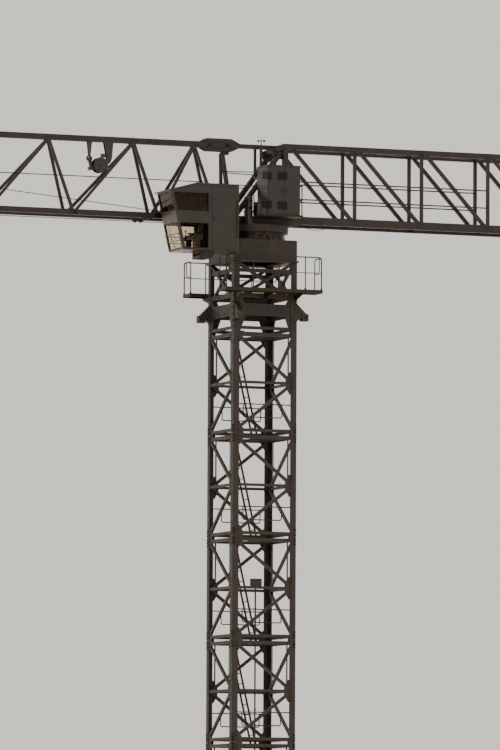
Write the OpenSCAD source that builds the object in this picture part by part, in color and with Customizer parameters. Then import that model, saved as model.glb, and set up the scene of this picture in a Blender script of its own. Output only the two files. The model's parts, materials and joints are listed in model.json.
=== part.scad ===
// Flat-top tower crane: bolted lattice mast, square mast head with its platform,
// slewing upper works with cab, triangular jib and box-section counter-jib.
// Millimetres, +Z up, origin at the middle of the base's underside, jib along -X.

/* [Mast] */
// Outside width of the square mast
mast_w = 2000; // [1600:50:2400]
// Height of one mast section
section_h = 3000; // [2400:100:3600]
// Number of mast sections
section_n = 6; // [2:1:7]
// Flange width of a leg angle
leg_w = 190; // [150:5:220]
// Thickness of a leg angle
leg_t = 18; // [12:1:24]
// Face width of a bracing bar
brace_w = 90; // [60:5:110]
// Depth of a bracing bar
brace_d = 70; // [50:5:80]
// Thickness of a gusset plate
gusset_t = 12; // [8:1:20]

/* [Base] */
// Height of the base cross
base_h = 300; // [240:10:400]
// Width of a base beam
base_beam_w = 300; // [260:10:360]
// Side of a square anchor plate
anchor_plate = 520; // [480:10:600]
// Spacing of the four anchor holes in a plate
anchor_pitch = 400; // [380:10:420]
// Diameter of an anchor hole
anchor_d = 36; // [24:1:42]

/* [Ladders and rest platforms] */
// Width of a ladder over its rails
ladder_w = 400; // [340:10:460]
// Spacing of the rungs
rung_pitch = 300; // [250:10:320]
// Thickness of a platform plate
plate_t = 30; // [20:1:40]
// Height of a guard rail above its platform
guard_h = 950; // [850:10:1050]

/* [Mast head] */
// Height of the mast head frame
head_h = 2100; // [1900:50:2300]
// Side of the square head platform
deck_w = 3180; // [2900:20:3300]
// Height of the head platform above the top mast joint
deck_rise = 1220; // [1150:10:1250]
// Height of the platform rail
deck_rail_h = 970; // [850:10:975]
// Height of the slewing support box
block_h = 600; // [540:10:640]
// Height of a collar arm
collar_h = 540; // [480:10:600]

/* [Slewing ring] */
// Outside radius of the slewing ring
ring_r = 950; // [850:10:960]
// Inside radius of the slewing ring
ring_bore_r = 700; // [600:10:760]
// Height of each ring half
ring_h = 116; // [90:1:130]
// Running gap between fixed and slewing pieces
ring_gap = 6; // [5:1:10]
// Radius of the turntable plate
table_r = 1040; // [980:10:1100]
// Height of the turntable
table_h = 210; // [180:5:240]

/* [Jib] */
// Length of one jib bay
jib_bay = 2650; // [2400:50:2800]
// Number of whole jib bays
jib_bay_n = 6; // [2:1:7]
// Distance between the bottom chords of the jib
jib_w = 750; // [700:10:900]
// Height between the chord lines
truss_h = 2200; // [2000:10:2300]
// Side of the square jib top chord
top_chord = 170; // [140:5:190]
// Width of a jib bottom chord
low_chord_w = 150; // [130:5:160]
// Height of a jib bottom chord
low_chord_h = 160; // [140:5:190]
// Width of a jib lacing bar
lacing = 85; // [60:5:95]

/* [Counter-jib] */
// Length of one counter-jib bay
counter_bay = 2150; // [1900:50:2300]
// Number of counter-jib bays
counter_bay_n = 5; // [4:1:6]
// Distance between the two counter-jib frames
counter_w = 930; // [900:10:1100]
// Height of a counter-jib bottom chord
counter_low_h = 230; // [180:10:240]
// Height of a counter-jib top chord
counter_top_h = 160; // [130:5:180]
// Width of a counter-jib chord
counter_chord_w = 150; // [120:5:170]
// Height of the upper handrail above the counter-jib deck
handrail_h = 1080; // [1000:10:1150]
// Number of counterweight slabs
slab_n = 6; // [3:1:6]
// Thickness of a counterweight slab
slab_t = 290; // [220:10:300]

/* [Cab] */
// Width of the cab across the jib
cab_w = 1130; // [1050:10:1150]
// Height of the cab under the flat of its roof
cab_h = 1960; // [1850:10:2100]
// Wall thickness of the cab
cab_t = 45; // [35:5:60]
// Side of the electrical cabinet along the jib
cabinet_l = 1025; // [800:25:1100]
// Height of the electrical cabinet
cabinet_h = 1440; // [1200:20:1560]

/* [Hidden] */
eps = 1;
half = mast_w / 2;
mast_top = base_h + section_n * section_h;
reach = half - leg_t - brace_d - 7;
steel_dark = [0.16, 0.12, 0.09];
steel_mid = [0.24, 0.19, 0.15];
zinc = [0.45, 0.45, 0.44];

// Heights of the mast head stack
head_top = mast_top + head_h;
block_top = head_top + block_h;
ring_base = block_top;
ring_split = ring_base + ring_h;
table_base = ring_split + ring_gap + ring_h;
table_top = table_base + table_h;
access_r = 420;

// Chord lines of the upper works
frame_h = 260;
low_line = table_top + 170;
top_line = low_line + truss_h;
top_node_x = -1890;
first_top_x = -3800;
steep_run = 660;
root_x = -1300;
jib_end_x = first_top_x - jib_bay_n * jib_bay - 600;
head_foot_x = -770;
head_rear_x = 900;
post_w = 150;
head_half = counter_w / 2;
beam_w = counter_chord_w;
counter_first_x = head_rear_x;
counter_end_x = counter_first_x + counter_bay_n * counter_bay + 60;

// Rope runs and trolley
rope_r = 12;
lacing_t = 70;
trolley_x = first_top_x - (jib_bay_n - 1) * jib_bay;
trolley_l = 1300;
trolley_beam_x = 480;
wheel_r = 85;
trolley_low = low_line - low_chord_h / 2 - 140;
hoist_rope_z = table_top + rope_r + 2;
guide_x = 520;
guide_r = 100;
hoist_x = 580;
hoist_drum_r = 200;
hoist_axis_z = table_top + frame_h + 320;
rope_play = 0.3;
guide_z = hoist_rope_z + rope_r + guide_r + rope_play;

// Cab outline
cab_near = -1920;
cab_far = cab_near + cab_w;
cab_low = mast_top + deck_rise + deck_rail_h + 20;
cab_roof = cab_low + cab_h;
cab_front_low = -2960;
cab_front_top = -3350;
cab_back = -1220;

// A straight square bar between two points
module bar(from, to, w) {
    d = to - from;
    translate(from)
        rotate([0, acos(d[2] / norm(d)), atan2(d[1], d[0])])
            translate([-w / 2, -w / 2, 0]) cube([w, w, norm(d)]);
}

// A round rod or rope between two points
module rod(from, to, r, sides = 8) {
    d = to - from;
    translate(from)
        rotate([0, acos(d[2] / norm(d)), atan2(d[1], d[0])])
            cylinder(h = norm(d), r = r, $fn = sides);
}

// A flat strip between two points of a plane
module strip(from, to, w) {
    d = to - from;
    translate(from) rotate(atan2(d[1], d[0])) translate([0, -w / 2]) square([norm(d), w]);
}

// An upright plane: x stays, the drawing's y becomes z, and the depth runs from y0 to y0 + t
module upright(y0, t) {
    translate([0, y0 + t, 0]) rotate([90, 0, 0]) linear_extrude(t) children();
}

// A quarter bend of round bar in an upright plane, from the angle "from" to 90 degrees past it
module bend(centre, radius, from, r) {
    translate(centre) rotate([90, 0, 0]) rotate([0, 0, from])
        rotate_extrude(angle = 90, $fn = 32) translate([radius, 0]) circle(r = r, $fn = 8);
}

// A grooved sheave on the Y axis: rope groove of radius r, width w
module sheave(r, w) {
    lip = 18;
    rotate([90, 0, 0]) rotate_extrude($fn = 64)
        polygon([[0, -w / 2], [r + lip, -w / 2], [r + lip, 5 - w / 2], [r, -13], [r, 13],
            [r + lip, w / 2 - 5], [r + lip, w / 2], [0, w / 2]]);
}

// A box given by its two corners
module block(low, high) {
    translate(low) cube(high - low);
}

module leg_profile() {
    polygon([[0, 0], [leg_w, 0], [leg_w, leg_t], [leg_t, leg_t], [leg_t, leg_w], [0, leg_w]]);
}

// Cover angle that joins two leg lengths on their inside
splice_w = 74;
splice_t = 14;
splice_h = 560;
module splice_profile() {
    polygon([[leg_t, leg_t], [splice_w, leg_t], [splice_w, leg_t + splice_t],
        [leg_t + splice_t, leg_t + splice_t], [leg_t + splice_t, splice_w], [leg_t, splice_w]]);
}

module leg(k) {
    color(steel_dark) rotate(90 * k) translate([-half, -half, 0]) {
        translate([0, 0, base_h]) linear_extrude(section_n * section_h) leg_profile();
        for (i = [1 : section_n - 1])
            translate([0, 0, base_h + i * section_h - splice_h / 2])
                linear_extrude(splice_h) splice_profile();
    }
}

// One side of the mast: joint struts, a middle strut and a K of two bars in each section
joint_strut = 95;
gusset_out = 250;
gusset_half = 330;
module side_bars() {
    intersection() {
        translate([-reach, base_h]) square([2 * reach, section_n * section_h]);
        for (i = [0 : section_n - 1]) {
            z0 = base_h + i * section_h;
            zm = z0 + section_h / 2;
            z1 = z0 + section_h;
            rise = (half - reach) * (section_h / 2 - joint_strut) / (2 * reach);
            strip([-reach, z0 + joint_strut], [reach, z0 + joint_strut], brace_w);
            strip([-reach, zm], [reach, zm], brace_w * 0.85);
            strip([-reach, z1 - joint_strut], [reach, z1 - joint_strut], brace_w);
            strip([-half, z0 + joint_strut - rise], [half, zm + rise], brace_w);
            strip([-half, z1 - joint_strut + rise], [half, zm - rise], brace_w);
        }
    }
}
module side_gussets() {
    for (i = [0 : section_n - 1]) {
        z0 = base_h + i * section_h;
        zm = z0 + section_h / 2;
        polygon([[reach, zm - gusset_half], [reach, zm + gusset_half],
            [reach - gusset_out / 2, zm + gusset_half], [reach - gusset_out, zm + 110],
            [reach - gusset_out, zm - 110], [reach - gusset_out / 2, zm - gusset_half]]);
        polygon([[-reach, zm - 110], [-reach, zm + 110], [110 - reach, zm + 70],
            [110 - reach, zm - 70]]);
        for (end = [[z0, 1], [z0 + section_h, -1]]) {
            polygon([[-reach, end[0]], [-reach, end[0] + end[1] * gusset_half],
                [gusset_out / 2 - reach, end[0] + end[1] * gusset_half],
                [gusset_out - reach, end[0] + end[1] * 120], [gusset_out - reach, end[0]]]);
            polygon([[reach, end[0]], [reach, end[0] + end[1] * 180],
                [reach - 60, end[0] + end[1] * 180], [reach - 140, end[0] + end[1] * 110],
                [reach - 140, end[0]]]);
        }
    }
}
module side(k) {
    color(steel_dark) rotate(90 * k) {
        upright(leg_t - half, brace_d) side_bars();
        upright(leg_t - half, gusset_t) side_gussets();
    }
}

// Base cross: two crossed beams, a shoe under each leg and an anchor plate under each end
shoe_t = 30;
anchor_t = 30;
beam_web = 24;
beam_flange = 26;
module beam_profile() {
    beam_top = base_h - shoe_t;
    translate([-base_beam_w / 2, 0]) square([base_beam_w, beam_flange]);
    translate([-base_beam_w / 2, beam_top - beam_flange]) square([base_beam_w, beam_flange]);
    translate([-beam_web / 2, 0]) square([beam_web, beam_top]);
}
module base_cross() {
    arm = (half - leg_w / 2) * sqrt(2) + 120;
    color(steel_dark) {
        difference() {
            union() {
                for (turn = [45, 135])
                    rotate(turn) translate([-arm, 0, 0]) rotate([90, 0, 90])
                        linear_extrude(2 * arm) beam_profile();
                for (k = [0 : 3]) rotate(90 * k)
                    translate([leg_w / 2 - half, leg_w / 2 - half, 0]) {
                        block([-anchor_plate / 2, -anchor_plate / 2, 0],
                            [anchor_plate / 2, anchor_plate / 2, anchor_t]);
                        block([-leg_w * 0.75, -leg_w * 0.75, base_h - shoe_t],
                            [leg_w * 0.75, leg_w * 0.75, base_h]);
                    }
            }
            for (k = [0 : 3]) rotate(90 * k)
                translate([leg_w / 2 - half, leg_w / 2 - half, 0])
                    for (u = [-1, 1]) for (v = [-1, 1])
                        translate([u * anchor_pitch / 2, v * anchor_pitch / 2, -eps])
                            cylinder(h = anchor_t + 2 * eps, d = anchor_d, $fn = 32);
        }
    }
}

// Inclined ladders, one in each section, each with a bar at its head under the hatch's edges
ladder_foot_x = 100;
ladder_head_x = -590;
rail_w = 60;
rail_t = 18;
module ladder(z_foot, z_head) {
    foot = [ladder_foot_x, z_foot];
    head = [ladder_head_x, z_head];
    run = head - foot;
    steps = floor((z_head - z_foot) / rung_pitch) - 1;
    for (s = [-1, 1])
        upright(s * ladder_w / 2 - (s > 0 ? rail_t : 0), rail_t)
            polygon([[foot[0] - rail_w / 2, foot[1]], [foot[0] + rail_w / 2, foot[1]],
                [head[0] + rail_w / 2, head[1]], [head[0] - rail_w / 2, head[1]]]);
    for (i = [1 : steps]) {
        at = foot + run * (i * rung_pitch / run[1]);
        rod([at[0], rail_t / 2 - ladder_w / 2, at[1]],
            [at[0], ladder_w / 2 - rail_t / 2, at[1]], 14, 6);
    }
    rest_y = hatch[1][1] + 50;
    rest_z = z_head + plate_t / 2 - 14.3;
    rod([head[0], -rest_y, rest_z], [head[0], rest_y, rest_z], 14, 6);
}
platform_z = [for (i = [1 : section_n]) base_h + i * section_h - joint_strut];
module ladders() {
    color(zinc) for (i = [0 : section_n - 1])
        ladder(i == 0 ? base_h - shoe_t : platform_z[i - 1] + plate_t / 2,
            platform_z[i] - plate_t);
}

// Rest platforms inside the mast, carried by the struts
platform_half = half - leg_t - brace_d;
hatch = [[ladder_head_x - 30, -330], [ladder_head_x + 570, 330]];
module rest_platforms() {
    color(steel_mid) for (z = platform_z)
        translate([0, 0, z - plate_t / 2]) linear_extrude(plate_t) difference() {
            square(2 * platform_half, center = true);
            translate(hatch[0]) square(hatch[1] - hatch[0]);
            translate([cable_x, cable_y]) circle(r = cable_r + cable_play, $fn = 24);
        }
}

// Guard rails over the rest platforms: a rail from leg to leg on the near and the far side,
// with a flat loop of the same bar below it
guard_r = 17;
guard_y = half - leg_w + 15;
guard_loop_x = half * 0.61;
guard_loop_z = guard_h * 0.595;
guard_bend = 60;
module platform_rails() {
    end = half - leg_t;
    straight_x = guard_loop_x - guard_bend;
    color(zinc) for (z = [for (i = [0 : section_n - 2]) platform_z[i] + plate_t / 2])
        for (y = [-guard_y, guard_y]) translate([0, y, z]) {
            rod([-end, 0, guard_h], [end, 0, guard_h], guard_r, 8);
            rod([-straight_x - eps, 0, guard_loop_z], [straight_x + eps, 0, guard_loop_z], guard_r, 8);
            for (x = [-guard_loop_x, guard_loop_x])
                rod([x, 0, guard_loop_z + guard_bend - eps], [x, 0, guard_h], guard_r, 8);
            bend([-straight_x, 0, guard_loop_z + guard_bend], guard_bend, 180, guard_r);
            bend([straight_x, 0, guard_loop_z + guard_bend], guard_bend, 270, guard_r);
        }
}

// Power cable hanging in the mast between two boxes that stand on its front struts
cable_r = 24;
cable_x = -220;
cable_play = 4;
box_l = 310;
box_h = 220;
box_d = 150;
cable_y = -platform_half + (box_d - brace_d) / 2;
module cable_box(z) {
    block([cable_x - box_l / 2, leg_t - half, z],
        [cable_x + box_l / 2, leg_t - half + box_d, z + box_h]);
}
cable_top_z = base_h + 3.5 * section_h + brace_w * 0.85 / 2 + 0.3;
cable_low_z = base_h + joint_strut + brace_w / 2;
module power_cable() {
    color([0.1, 0.09, 0.08]) {
        cable_box(cable_top_z);
        cable_box(cable_low_z);
        translate([cable_x, cable_y, cable_low_z + box_h])
            cylinder(h = cable_top_z - cable_low_z - box_h, r = cable_r, $fn = 16);
    }
}

// Collar arms on the corners, each with its end box
collar_z = mast_top + 320;
collar_out = 370;
collar_w = 140;
module collar_arms() {
    color(steel_dark) for (k = [0 : 3]) rotate(90 * k)
        translate([20 - half, -half, 0]) {
            rotate([90, 0, 90]) linear_extrude(collar_w)
                polygon([[0, collar_z], [0, collar_z + collar_h], [-collar_out, collar_z + collar_h / 3],
                    [40 - collar_out, collar_z + collar_h / 9], [-150, collar_z + collar_h / 5]]);
            block([-30, -collar_out, collar_z + 20], [collar_w + 30, -160, collar_z + collar_h * 0.43]);
        }
}

// Mast head: legs, deep collar beam, struts and a cross of bars on each side
deep_z = 630;
deep_h = 350;
module head_side() {
    intersection() {
        translate([-reach, mast_top]) square([2 * reach, head_h - block_flange]);
        union() {
            strip([-reach, mast_top + joint_strut], [reach, mast_top + joint_strut], brace_w);
            strip([-reach, mast_top + deep_z], [reach, mast_top + deep_z], deep_h);
            strip([-reach, mast_top + deck_rise - 170], [reach, mast_top + deck_rise - 170], 130);
            strip([-reach, mast_top + 1780], [reach, mast_top + 1780], 110);
            strip([-half, mast_top + 850], [half, head_top], brace_w);
            strip([half, mast_top + 850], [-half, head_top], brace_w);
        }
    }
}
block_flange = 50;
module mast_head() {
    color(steel_dark) {
        for (k = [0 : 3]) rotate(90 * k) {
            translate([-half, -half, mast_top]) linear_extrude(head_h - block_flange) leg_profile();
            upright(leg_t - half, brace_d) head_side();
            upright(leg_t - half, gusset_t) for (s = [-1, 1])
                polygon([[s * reach, mast_top], [s * (reach - 130), mast_top],
                    [s * (reach - 360), mast_top + deep_z], [s * (reach - 130), mast_top + 1050],
                    [s * reach, mast_top + 1150]]);
        }
        flange_out = half + 45;
        translate([0, 0, head_top - block_flange]) linear_extrude(block_flange) difference() {
            square(2 * flange_out, center = true);
            square(2 * (half - 260), center = true);
        }
    }
}

// Head platform: a square deck round the mast head on short brackets
deck_z = mast_top + deck_rise;
deck_t = 60;
bracket_t = 16;
deck_gap = 4;
module head_deck() {
    color(steel_mid) {
        translate([0, 0, deck_z - deck_t]) linear_extrude(deck_t) difference() {
            square(deck_w, center = true);
            square(mast_w + 2 * deck_gap, center = true);
        }
        for (k = [0 : 3]) rotate(90 * k) for (x = [-850, 0, 850])
            translate([x - bracket_t / 2, 0, 0]) rotate([90, 0, 90]) linear_extrude(bracket_t)
                polygon([[-half, deck_z - deck_t], [-half, deck_z - 260],
                    [-deck_w / 2 + 40, deck_z - deck_t - 40], [-deck_w / 2 + 40, deck_z - deck_t]]);
    }
}
rail_inset = 30;
rail_r = 20;
rail_bend = 130;
rail_end = deck_w / 2 - 140;
module deck_rails() {
    edge = deck_w / 2 - rail_inset;
    top = deck_z + deck_rail_h - rail_r;
    color(zinc) for (k = [0 : 3]) rotate(90 * k) translate([0, -edge, 0]) {
        rod([rail_bend - rail_end - eps, 0, top], [rail_end - rail_bend + eps, 0, top], rail_r, 8);
        rod([-rail_end, 0, deck_z + deck_rail_h / 2], [rail_end, 0, deck_z + deck_rail_h / 2],
            rail_r * 0.8, 8);
        for (x = [-rail_end, rail_end])
            rod([x, 0, deck_z], [x, 0, top - rail_bend + eps], rail_r, 8);
        for (x = [-0.65 * rail_end, (k > 1 ? 0.14 : -0.14) * rail_end])
            rod([x, 0, deck_z], [x, 0, top], rail_r, 8);
        bend([rail_bend - rail_end, 0, top - rail_bend], rail_bend, 90, rail_r);
        bend([rail_end - rail_bend, 0, top - rail_bend], rail_bend, 0, rail_r);
    }
}

// Slewing support box on the mast head, closed on top but for the way through
block_wall = 40;
module slew_block() {
    color(steel_dark) translate([0, 0, head_top]) difference() {
        translate([-half, -half, 0]) cube([mast_w, mast_w, block_h]);
        translate([block_wall - half, block_wall - half, -eps])
            cube([mast_w - 2 * block_wall, mast_w - 2 * block_wall, block_h - block_wall + eps]);
        translate([0, 0, -eps]) cylinder(h = block_h + 2 * eps, r = access_r, $fn = 64);
    }
}

module ring(z, h, r) {
    translate([0, 0, z]) difference() {
        cylinder(h = h, r = r, $fn = 96);
        translate([0, 0, -eps]) cylinder(h = h + 2 * eps, r = ring_bore_r, $fn = 96);
    }
}
module slew_ring_fixed() {
    color(zinc) ring(ring_base, ring_h, ring_r);
}
module slew_ring_top() {
    color(zinc) ring(ring_split + ring_gap, ring_h, ring_r - 15);
}

module turntable() {
    color(steel_dark) translate([0, 0, table_base]) difference() {
        cylinder(h = table_h, r = table_r, $fn = 96);
        translate([0, 0, -eps]) cylinder(h = table_h + 2 * eps, r = access_r, $fn = 64);
    }
}

// Slewing drives standing on the turntable outside the frame beams
drive_at = [450, 750];
module slew_drives() {
    color(steel_mid) for (s = [-1, 1]) translate([s * drive_at[0], s * drive_at[1], table_top]) {
        cylinder(h = 60, r = 150, $fn = 48);
        translate([0, 0, 60]) cylinder(h = 300, r = 128, $fn = 48);
        translate([0, 0, 360]) cylinder(h = 40, r = 145, $fn = 48);
        translate([0, 0, 400]) cylinder(h = 400, r = 105, $fn = 48);
    }
}

// Slewing frame: two long beams and cross beams on the turntable, with a wedge under each
// counter-jib root
frame_top = table_top + frame_h;
root_wedge = 410;
module slew_frame() {
    color(steel_dark) {
        for (s = [-1, 1])
            block([root_x, s * head_half - beam_w / 2, table_top],
                [head_rear_x, s * head_half + beam_w / 2, frame_top]);
        for (x = [root_x, head_foot_x - beam_w / 2, hoist_x - 350, head_rear_x - beam_w])
            block([x, -head_half, table_top + 30], [x + beam_w, head_half, frame_top]);
        for (s = [-1, 1]) upright(s * head_half - beam_w / 2, beam_w)
            polygon([[head_rear_x - 10, table_top], [head_rear_x + 20, table_top],
                [head_rear_x + root_wedge, counter_under - 15],
                [head_rear_x + root_wedge, counter_under], [head_rear_x - 10, counter_under]]);
    }
}

// Tower head: two front posts to the jib pin, two raking legs, rear posts, top beam, the
// uprights of the head ladder, side rods and a gusset at each rear post
pin_x = -1120;
head_beam_w = 120;
head_beam_h = 126;
rake_slope = 0.745;
rake_w = 140;
rake_top_x = 715;
neck_h = 235;
head_foot_y = 400;
front_top = [-1010, 60];
front_foot = [-850, head_foot_y];
head_ladder_y = 230;
head_ladder_x = 150;
side_rod_r = 14;
gusset_drop = 370;
function rake_x(z) = rake_top_x - rake_slope * (top_line - 160 - z);
function front_at(z, s) = let (t = (top_line - neck_h - z) / (top_line - neck_h - frame_top + 30))
    [front_top[0] + t * (front_foot[0] - front_top[0]),
        s * (front_top[1] + t * (front_foot[1] - front_top[1])), z];
module tower_head() {
    rake_top_z = top_line - 160;
    ladder_low_z = rake_top_z - (rake_top_x - head_ladder_x) / rake_slope;
    cross_z = top_line - 550;
    color(steel_dark) {
        difference() {
            union() {
                for (s = [-1, 1]) {
                    bar(front_at(top_line - neck_h, s), front_at(frame_top - 30, s), 100);
                    bar([rake_x(rake_top_z), s * head_foot_y, rake_top_z],
                        [rake_x(frame_top - 60), s * head_foot_y, frame_top - 60], rake_w);
                    block([head_rear_x - post_w, s * head_half - post_w / 2, frame_top],
                        [head_rear_x, s * head_half + post_w / 2, top_line + counter_top_h / 2]);
                    bar([rake_top_x - 160, s * head_foot_y, top_line - 100],
                        [head_rear_x - 40, s * head_half, top_line - 20], 120);
                    upright(s * head_foot_y - 10, 20)
                        polygon([[rake_top_x - 330, top_line - 70], [head_rear_x - 60, top_line - 70],
                            [head_rear_x - 60, top_line - gusset_drop],
                            [rake_top_x - 60, top_line - gusset_drop],
                            [rake_top_x - 200, top_line - gusset_drop - 60]]);
                    for (z = [top_line - 780, top_line - 1190])
                        rod(front_at(z, s), [rake_x(z), s * head_foot_y, z], side_rod_r, 8);
                    bar([head_ladder_x, s * head_ladder_y, ladder_low_z],
                        [head_ladder_x, s * head_ladder_y, top_line - 20], 66);
                }
                block([pin_x + 30, -head_beam_w / 2, top_line - head_beam_h / 2],
                    [head_rear_x, head_beam_w / 2, top_line + head_beam_h / 2]);
                block([pin_x + 90, -head_beam_w / 2, top_line - neck_h - 40],
                    [pin_x + 320, head_beam_w / 2, top_line]);
                block([rake_top_x - 180, -head_foot_y, top_line - 170],
                    [rake_top_x - 60, head_foot_y, top_line - 60]);
                block([head_ladder_x - 35, -head_foot_y, ladder_low_z - 35],
                    [head_ladder_x + 35, head_foot_y, ladder_low_z + 35]);
                block([rake_x(cross_z) - 35, -head_foot_y, cross_z - 35],
                    [rake_x(cross_z) + 35, head_foot_y, cross_z + 35]);
                block([head_ladder_x - 33, -head_ladder_y, top_line - 53],
                    [head_ladder_x + 33, head_ladder_y, top_line + 13]);
                block([head_rear_x - 120, -head_half, top_line - counter_top_h / 2],
                    [head_rear_x, head_half, top_line + counter_top_h / 2]);
            }
            block([root_x, -half, table_top - frame_h], [head_rear_x + eps, half, frame_top]);
            translate([head_pin_x, 0, top_line]) rotate([90, 0, 0])
                cylinder(h = 4 * head_beam_w, r = pin_r + pin_play, center = true, $fn = 48);
        }
    }
}

// Cheek plates of the jib's top pin joint, with their two pins
pin_r = 42;
pin_play = 0.05;
cheek_t = 24;
cheek_l = 1560;
cheek_h = 380;
cheek_tip = 390;
jib_pin_x = pin_x - 270;
head_pin_x = pin_x + 270;
module cheek_outline() {
    flat = cheek_l / 2 - cheek_tip;
    polygon([[-cheek_l / 2, 0], [-flat, cheek_h / 2], [flat, cheek_h / 2],
        [cheek_l / 2, 0], [flat, -cheek_h / 2], [-flat, -cheek_h / 2]]);
}
module pin_cheeks() {
    color(steel_dark) {
        for (s = [-1, 1])
            translate([pin_x, 0, top_line])
                upright(s > 0 ? top_chord / 2 : -top_chord / 2 - cheek_t, cheek_t) cheek_outline();
        for (x = [jib_pin_x, head_pin_x]) translate([x, 0, top_line]) rotate([90, 0, 0])
            cylinder(h = top_chord + 2 * cheek_t + 60, r = pin_r, center = true, $fn = 48);
    }
}

// Jib top chord
module jib_top_chord() {
    color(steel_dark) difference() {
        block([jib_end_x, -top_chord / 2, top_line - top_chord / 2],
            [pin_x - 30, top_chord / 2, top_line + top_chord / 2]);
        translate([jib_pin_x, 0, top_line]) rotate([90, 0, 0])
            cylinder(h = 2 * top_chord, r = pin_r + pin_play, center = true, $fn = 48);
    }
}

// One jib side: a bottom chord and a leaning plane of lacing
jib_top_nodes = [for (k = [-1 : jib_bay_n]) k < 0 ? top_node_x : first_top_x - k * jib_bay];
jib_low_nodes = [for (x = jib_top_nodes) x + steep_run];
lacing_top_y = 55;
plane_rise = truss_h - top_chord / 2;
plane_run = jib_w / 2 - lacing_top_y;
plane_lean = atan2(plane_run, plane_rise);
plane_len = sqrt(plane_rise * plane_rise + plane_run * plane_run) - lacing_t / 2 * tan(plane_lean);
module jib_lacing() {
    intersection() {
        translate([jib_end_x, 0]) square([root_x - jib_end_x, plane_len]);
        union() {
            for (i = [0 : len(jib_top_nodes) - 1]) {
                top_x = jib_top_nodes[i];
                low_x = jib_low_nodes[i];
                strip([top_x, plane_len + 40], [low_x, -20], lacing);
                if (i > 0) strip([low_x, -20], [jib_top_nodes[i - 1], plane_len + 40], lacing);
            }
            strip([jib_top_nodes[jib_bay_n + 1], plane_len + 40], [jib_end_x + 60, -20], lacing);
        }
    }
}
module jib_side(s) {
    color(steel_dark) {
        block([jib_end_x, s * jib_w / 2 - low_chord_w / 2, low_line - low_chord_h / 2],
            [root_x, s * jib_w / 2 + low_chord_w / 2, low_line + low_chord_h / 2]);
        translate([0, s * jib_w / 2, low_line]) rotate([90 + s * plane_lean, 0, 0])
            translate([0, 0, -lacing_t / 2]) linear_extrude(lacing_t) jib_lacing();
    }
}

// Floor lacing between the bottom chords
floor_bar = 70;
module jib_floor() {
    inner = jib_w / 2 - low_chord_w / 2;
    xs = [for (x = jib_low_nodes) if (x < root_x - 100) x];
    color(steel_dark) translate([0, 0, low_line - floor_bar / 2]) linear_extrude(floor_bar)
        intersection() {
            translate([jib_end_x, -inner]) square([root_x - jib_end_x, 2 * inner]);
            union() {
                for (x = xs) strip([x, -inner], [x, inner], floor_bar);
                for (i = [0 : len(xs) - 2]) {
                    mid = (xs[i] + xs[i + 1]) / 2;
                    strip([xs[i], -inner], [mid, inner], floor_bar * 0.8);
                    strip([mid, inner], [xs[i + 1], -inner], floor_bar * 0.8);
                }
                strip([xs[0], -inner], [root_x, inner], floor_bar * 0.8);
                strip([jib_end_x + 40, -inner], [jib_end_x + 40, inner], 80);
                strip([xs[len(xs) - 1], -inner], [jib_end_x, inner], floor_bar * 0.8);
            }
        }
}

// Jib tip: end frame with its post and the return pulley
tip_plate_t = 20;
tip_pulley_r = 102;
tip_post_w = 70;
module jib_tip() {
    color(steel_mid) {
        for (s = [-1, 1]) upright(s > 0 ? 60 : -60 - tip_plate_t, tip_plate_t)
            polygon([[jib_end_x - 330, low_line + 60], [jib_end_x - 330, low_line - 60],
                [jib_end_x, low_line - low_chord_h / 2], [jib_end_x, low_line + 260],
                [jib_end_x - 180, low_line + 180]]);
        block([jib_end_x - 20, -jib_w / 2 - low_chord_w / 2, low_line - low_chord_h / 2],
            [jib_end_x, jib_w / 2 + low_chord_w / 2, low_line + low_chord_h / 2]);
        block([jib_end_x - 20, -tip_post_w / 2, low_line + floor_bar / 2],
            [jib_end_x + 50, tip_post_w / 2, top_line - top_chord / 2]);
        translate([jib_end_x - 200, 0, low_line + 40]) {
            rotate([90, 0, 0]) cylinder(h = 160, r = 30, center = true, $fn = 32);
            sheave(tip_pulley_r, 50);
        }
    }
}

// Trolley winch hung from the top chord
winch_x = -4840;
winch_z = top_line - 740;
winch_r = 190;
module trolley_winch() {
    top = top_line - top_chord / 2;
    color(steel_mid) {
        for (s = [-1, 1]) {
            upright(s > 0 ? 60 : -84, 24)
                polygon([[winch_x + 150, top], [winch_x + 400, top], [winch_x + 330, winch_z - 40],
                    [winch_x + 60, winch_z - 80], [winch_x - 60, winch_z], [winch_x + 60, winch_z + 90],
                    [winch_x + 250, winch_z + 60]]);
        }
        block([winch_x - 380, -84, winch_z + 180], [winch_x - 300, 84, top]);
        block([winch_x - 400, -84, winch_z + 110], [winch_x + 300, 84, winch_z + 180 + 10]);
        translate([winch_x, 0, winch_z - 20]) rotate([90, 0, 0]) {
            cylinder(h = 300, r = 150, center = true, $fn = 48);
            for (s = [-1, 1]) translate([0, 0, s * 150 - 10]) cylinder(h = 20, r = winch_r, $fn = 48);
        }
    }
}

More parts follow.
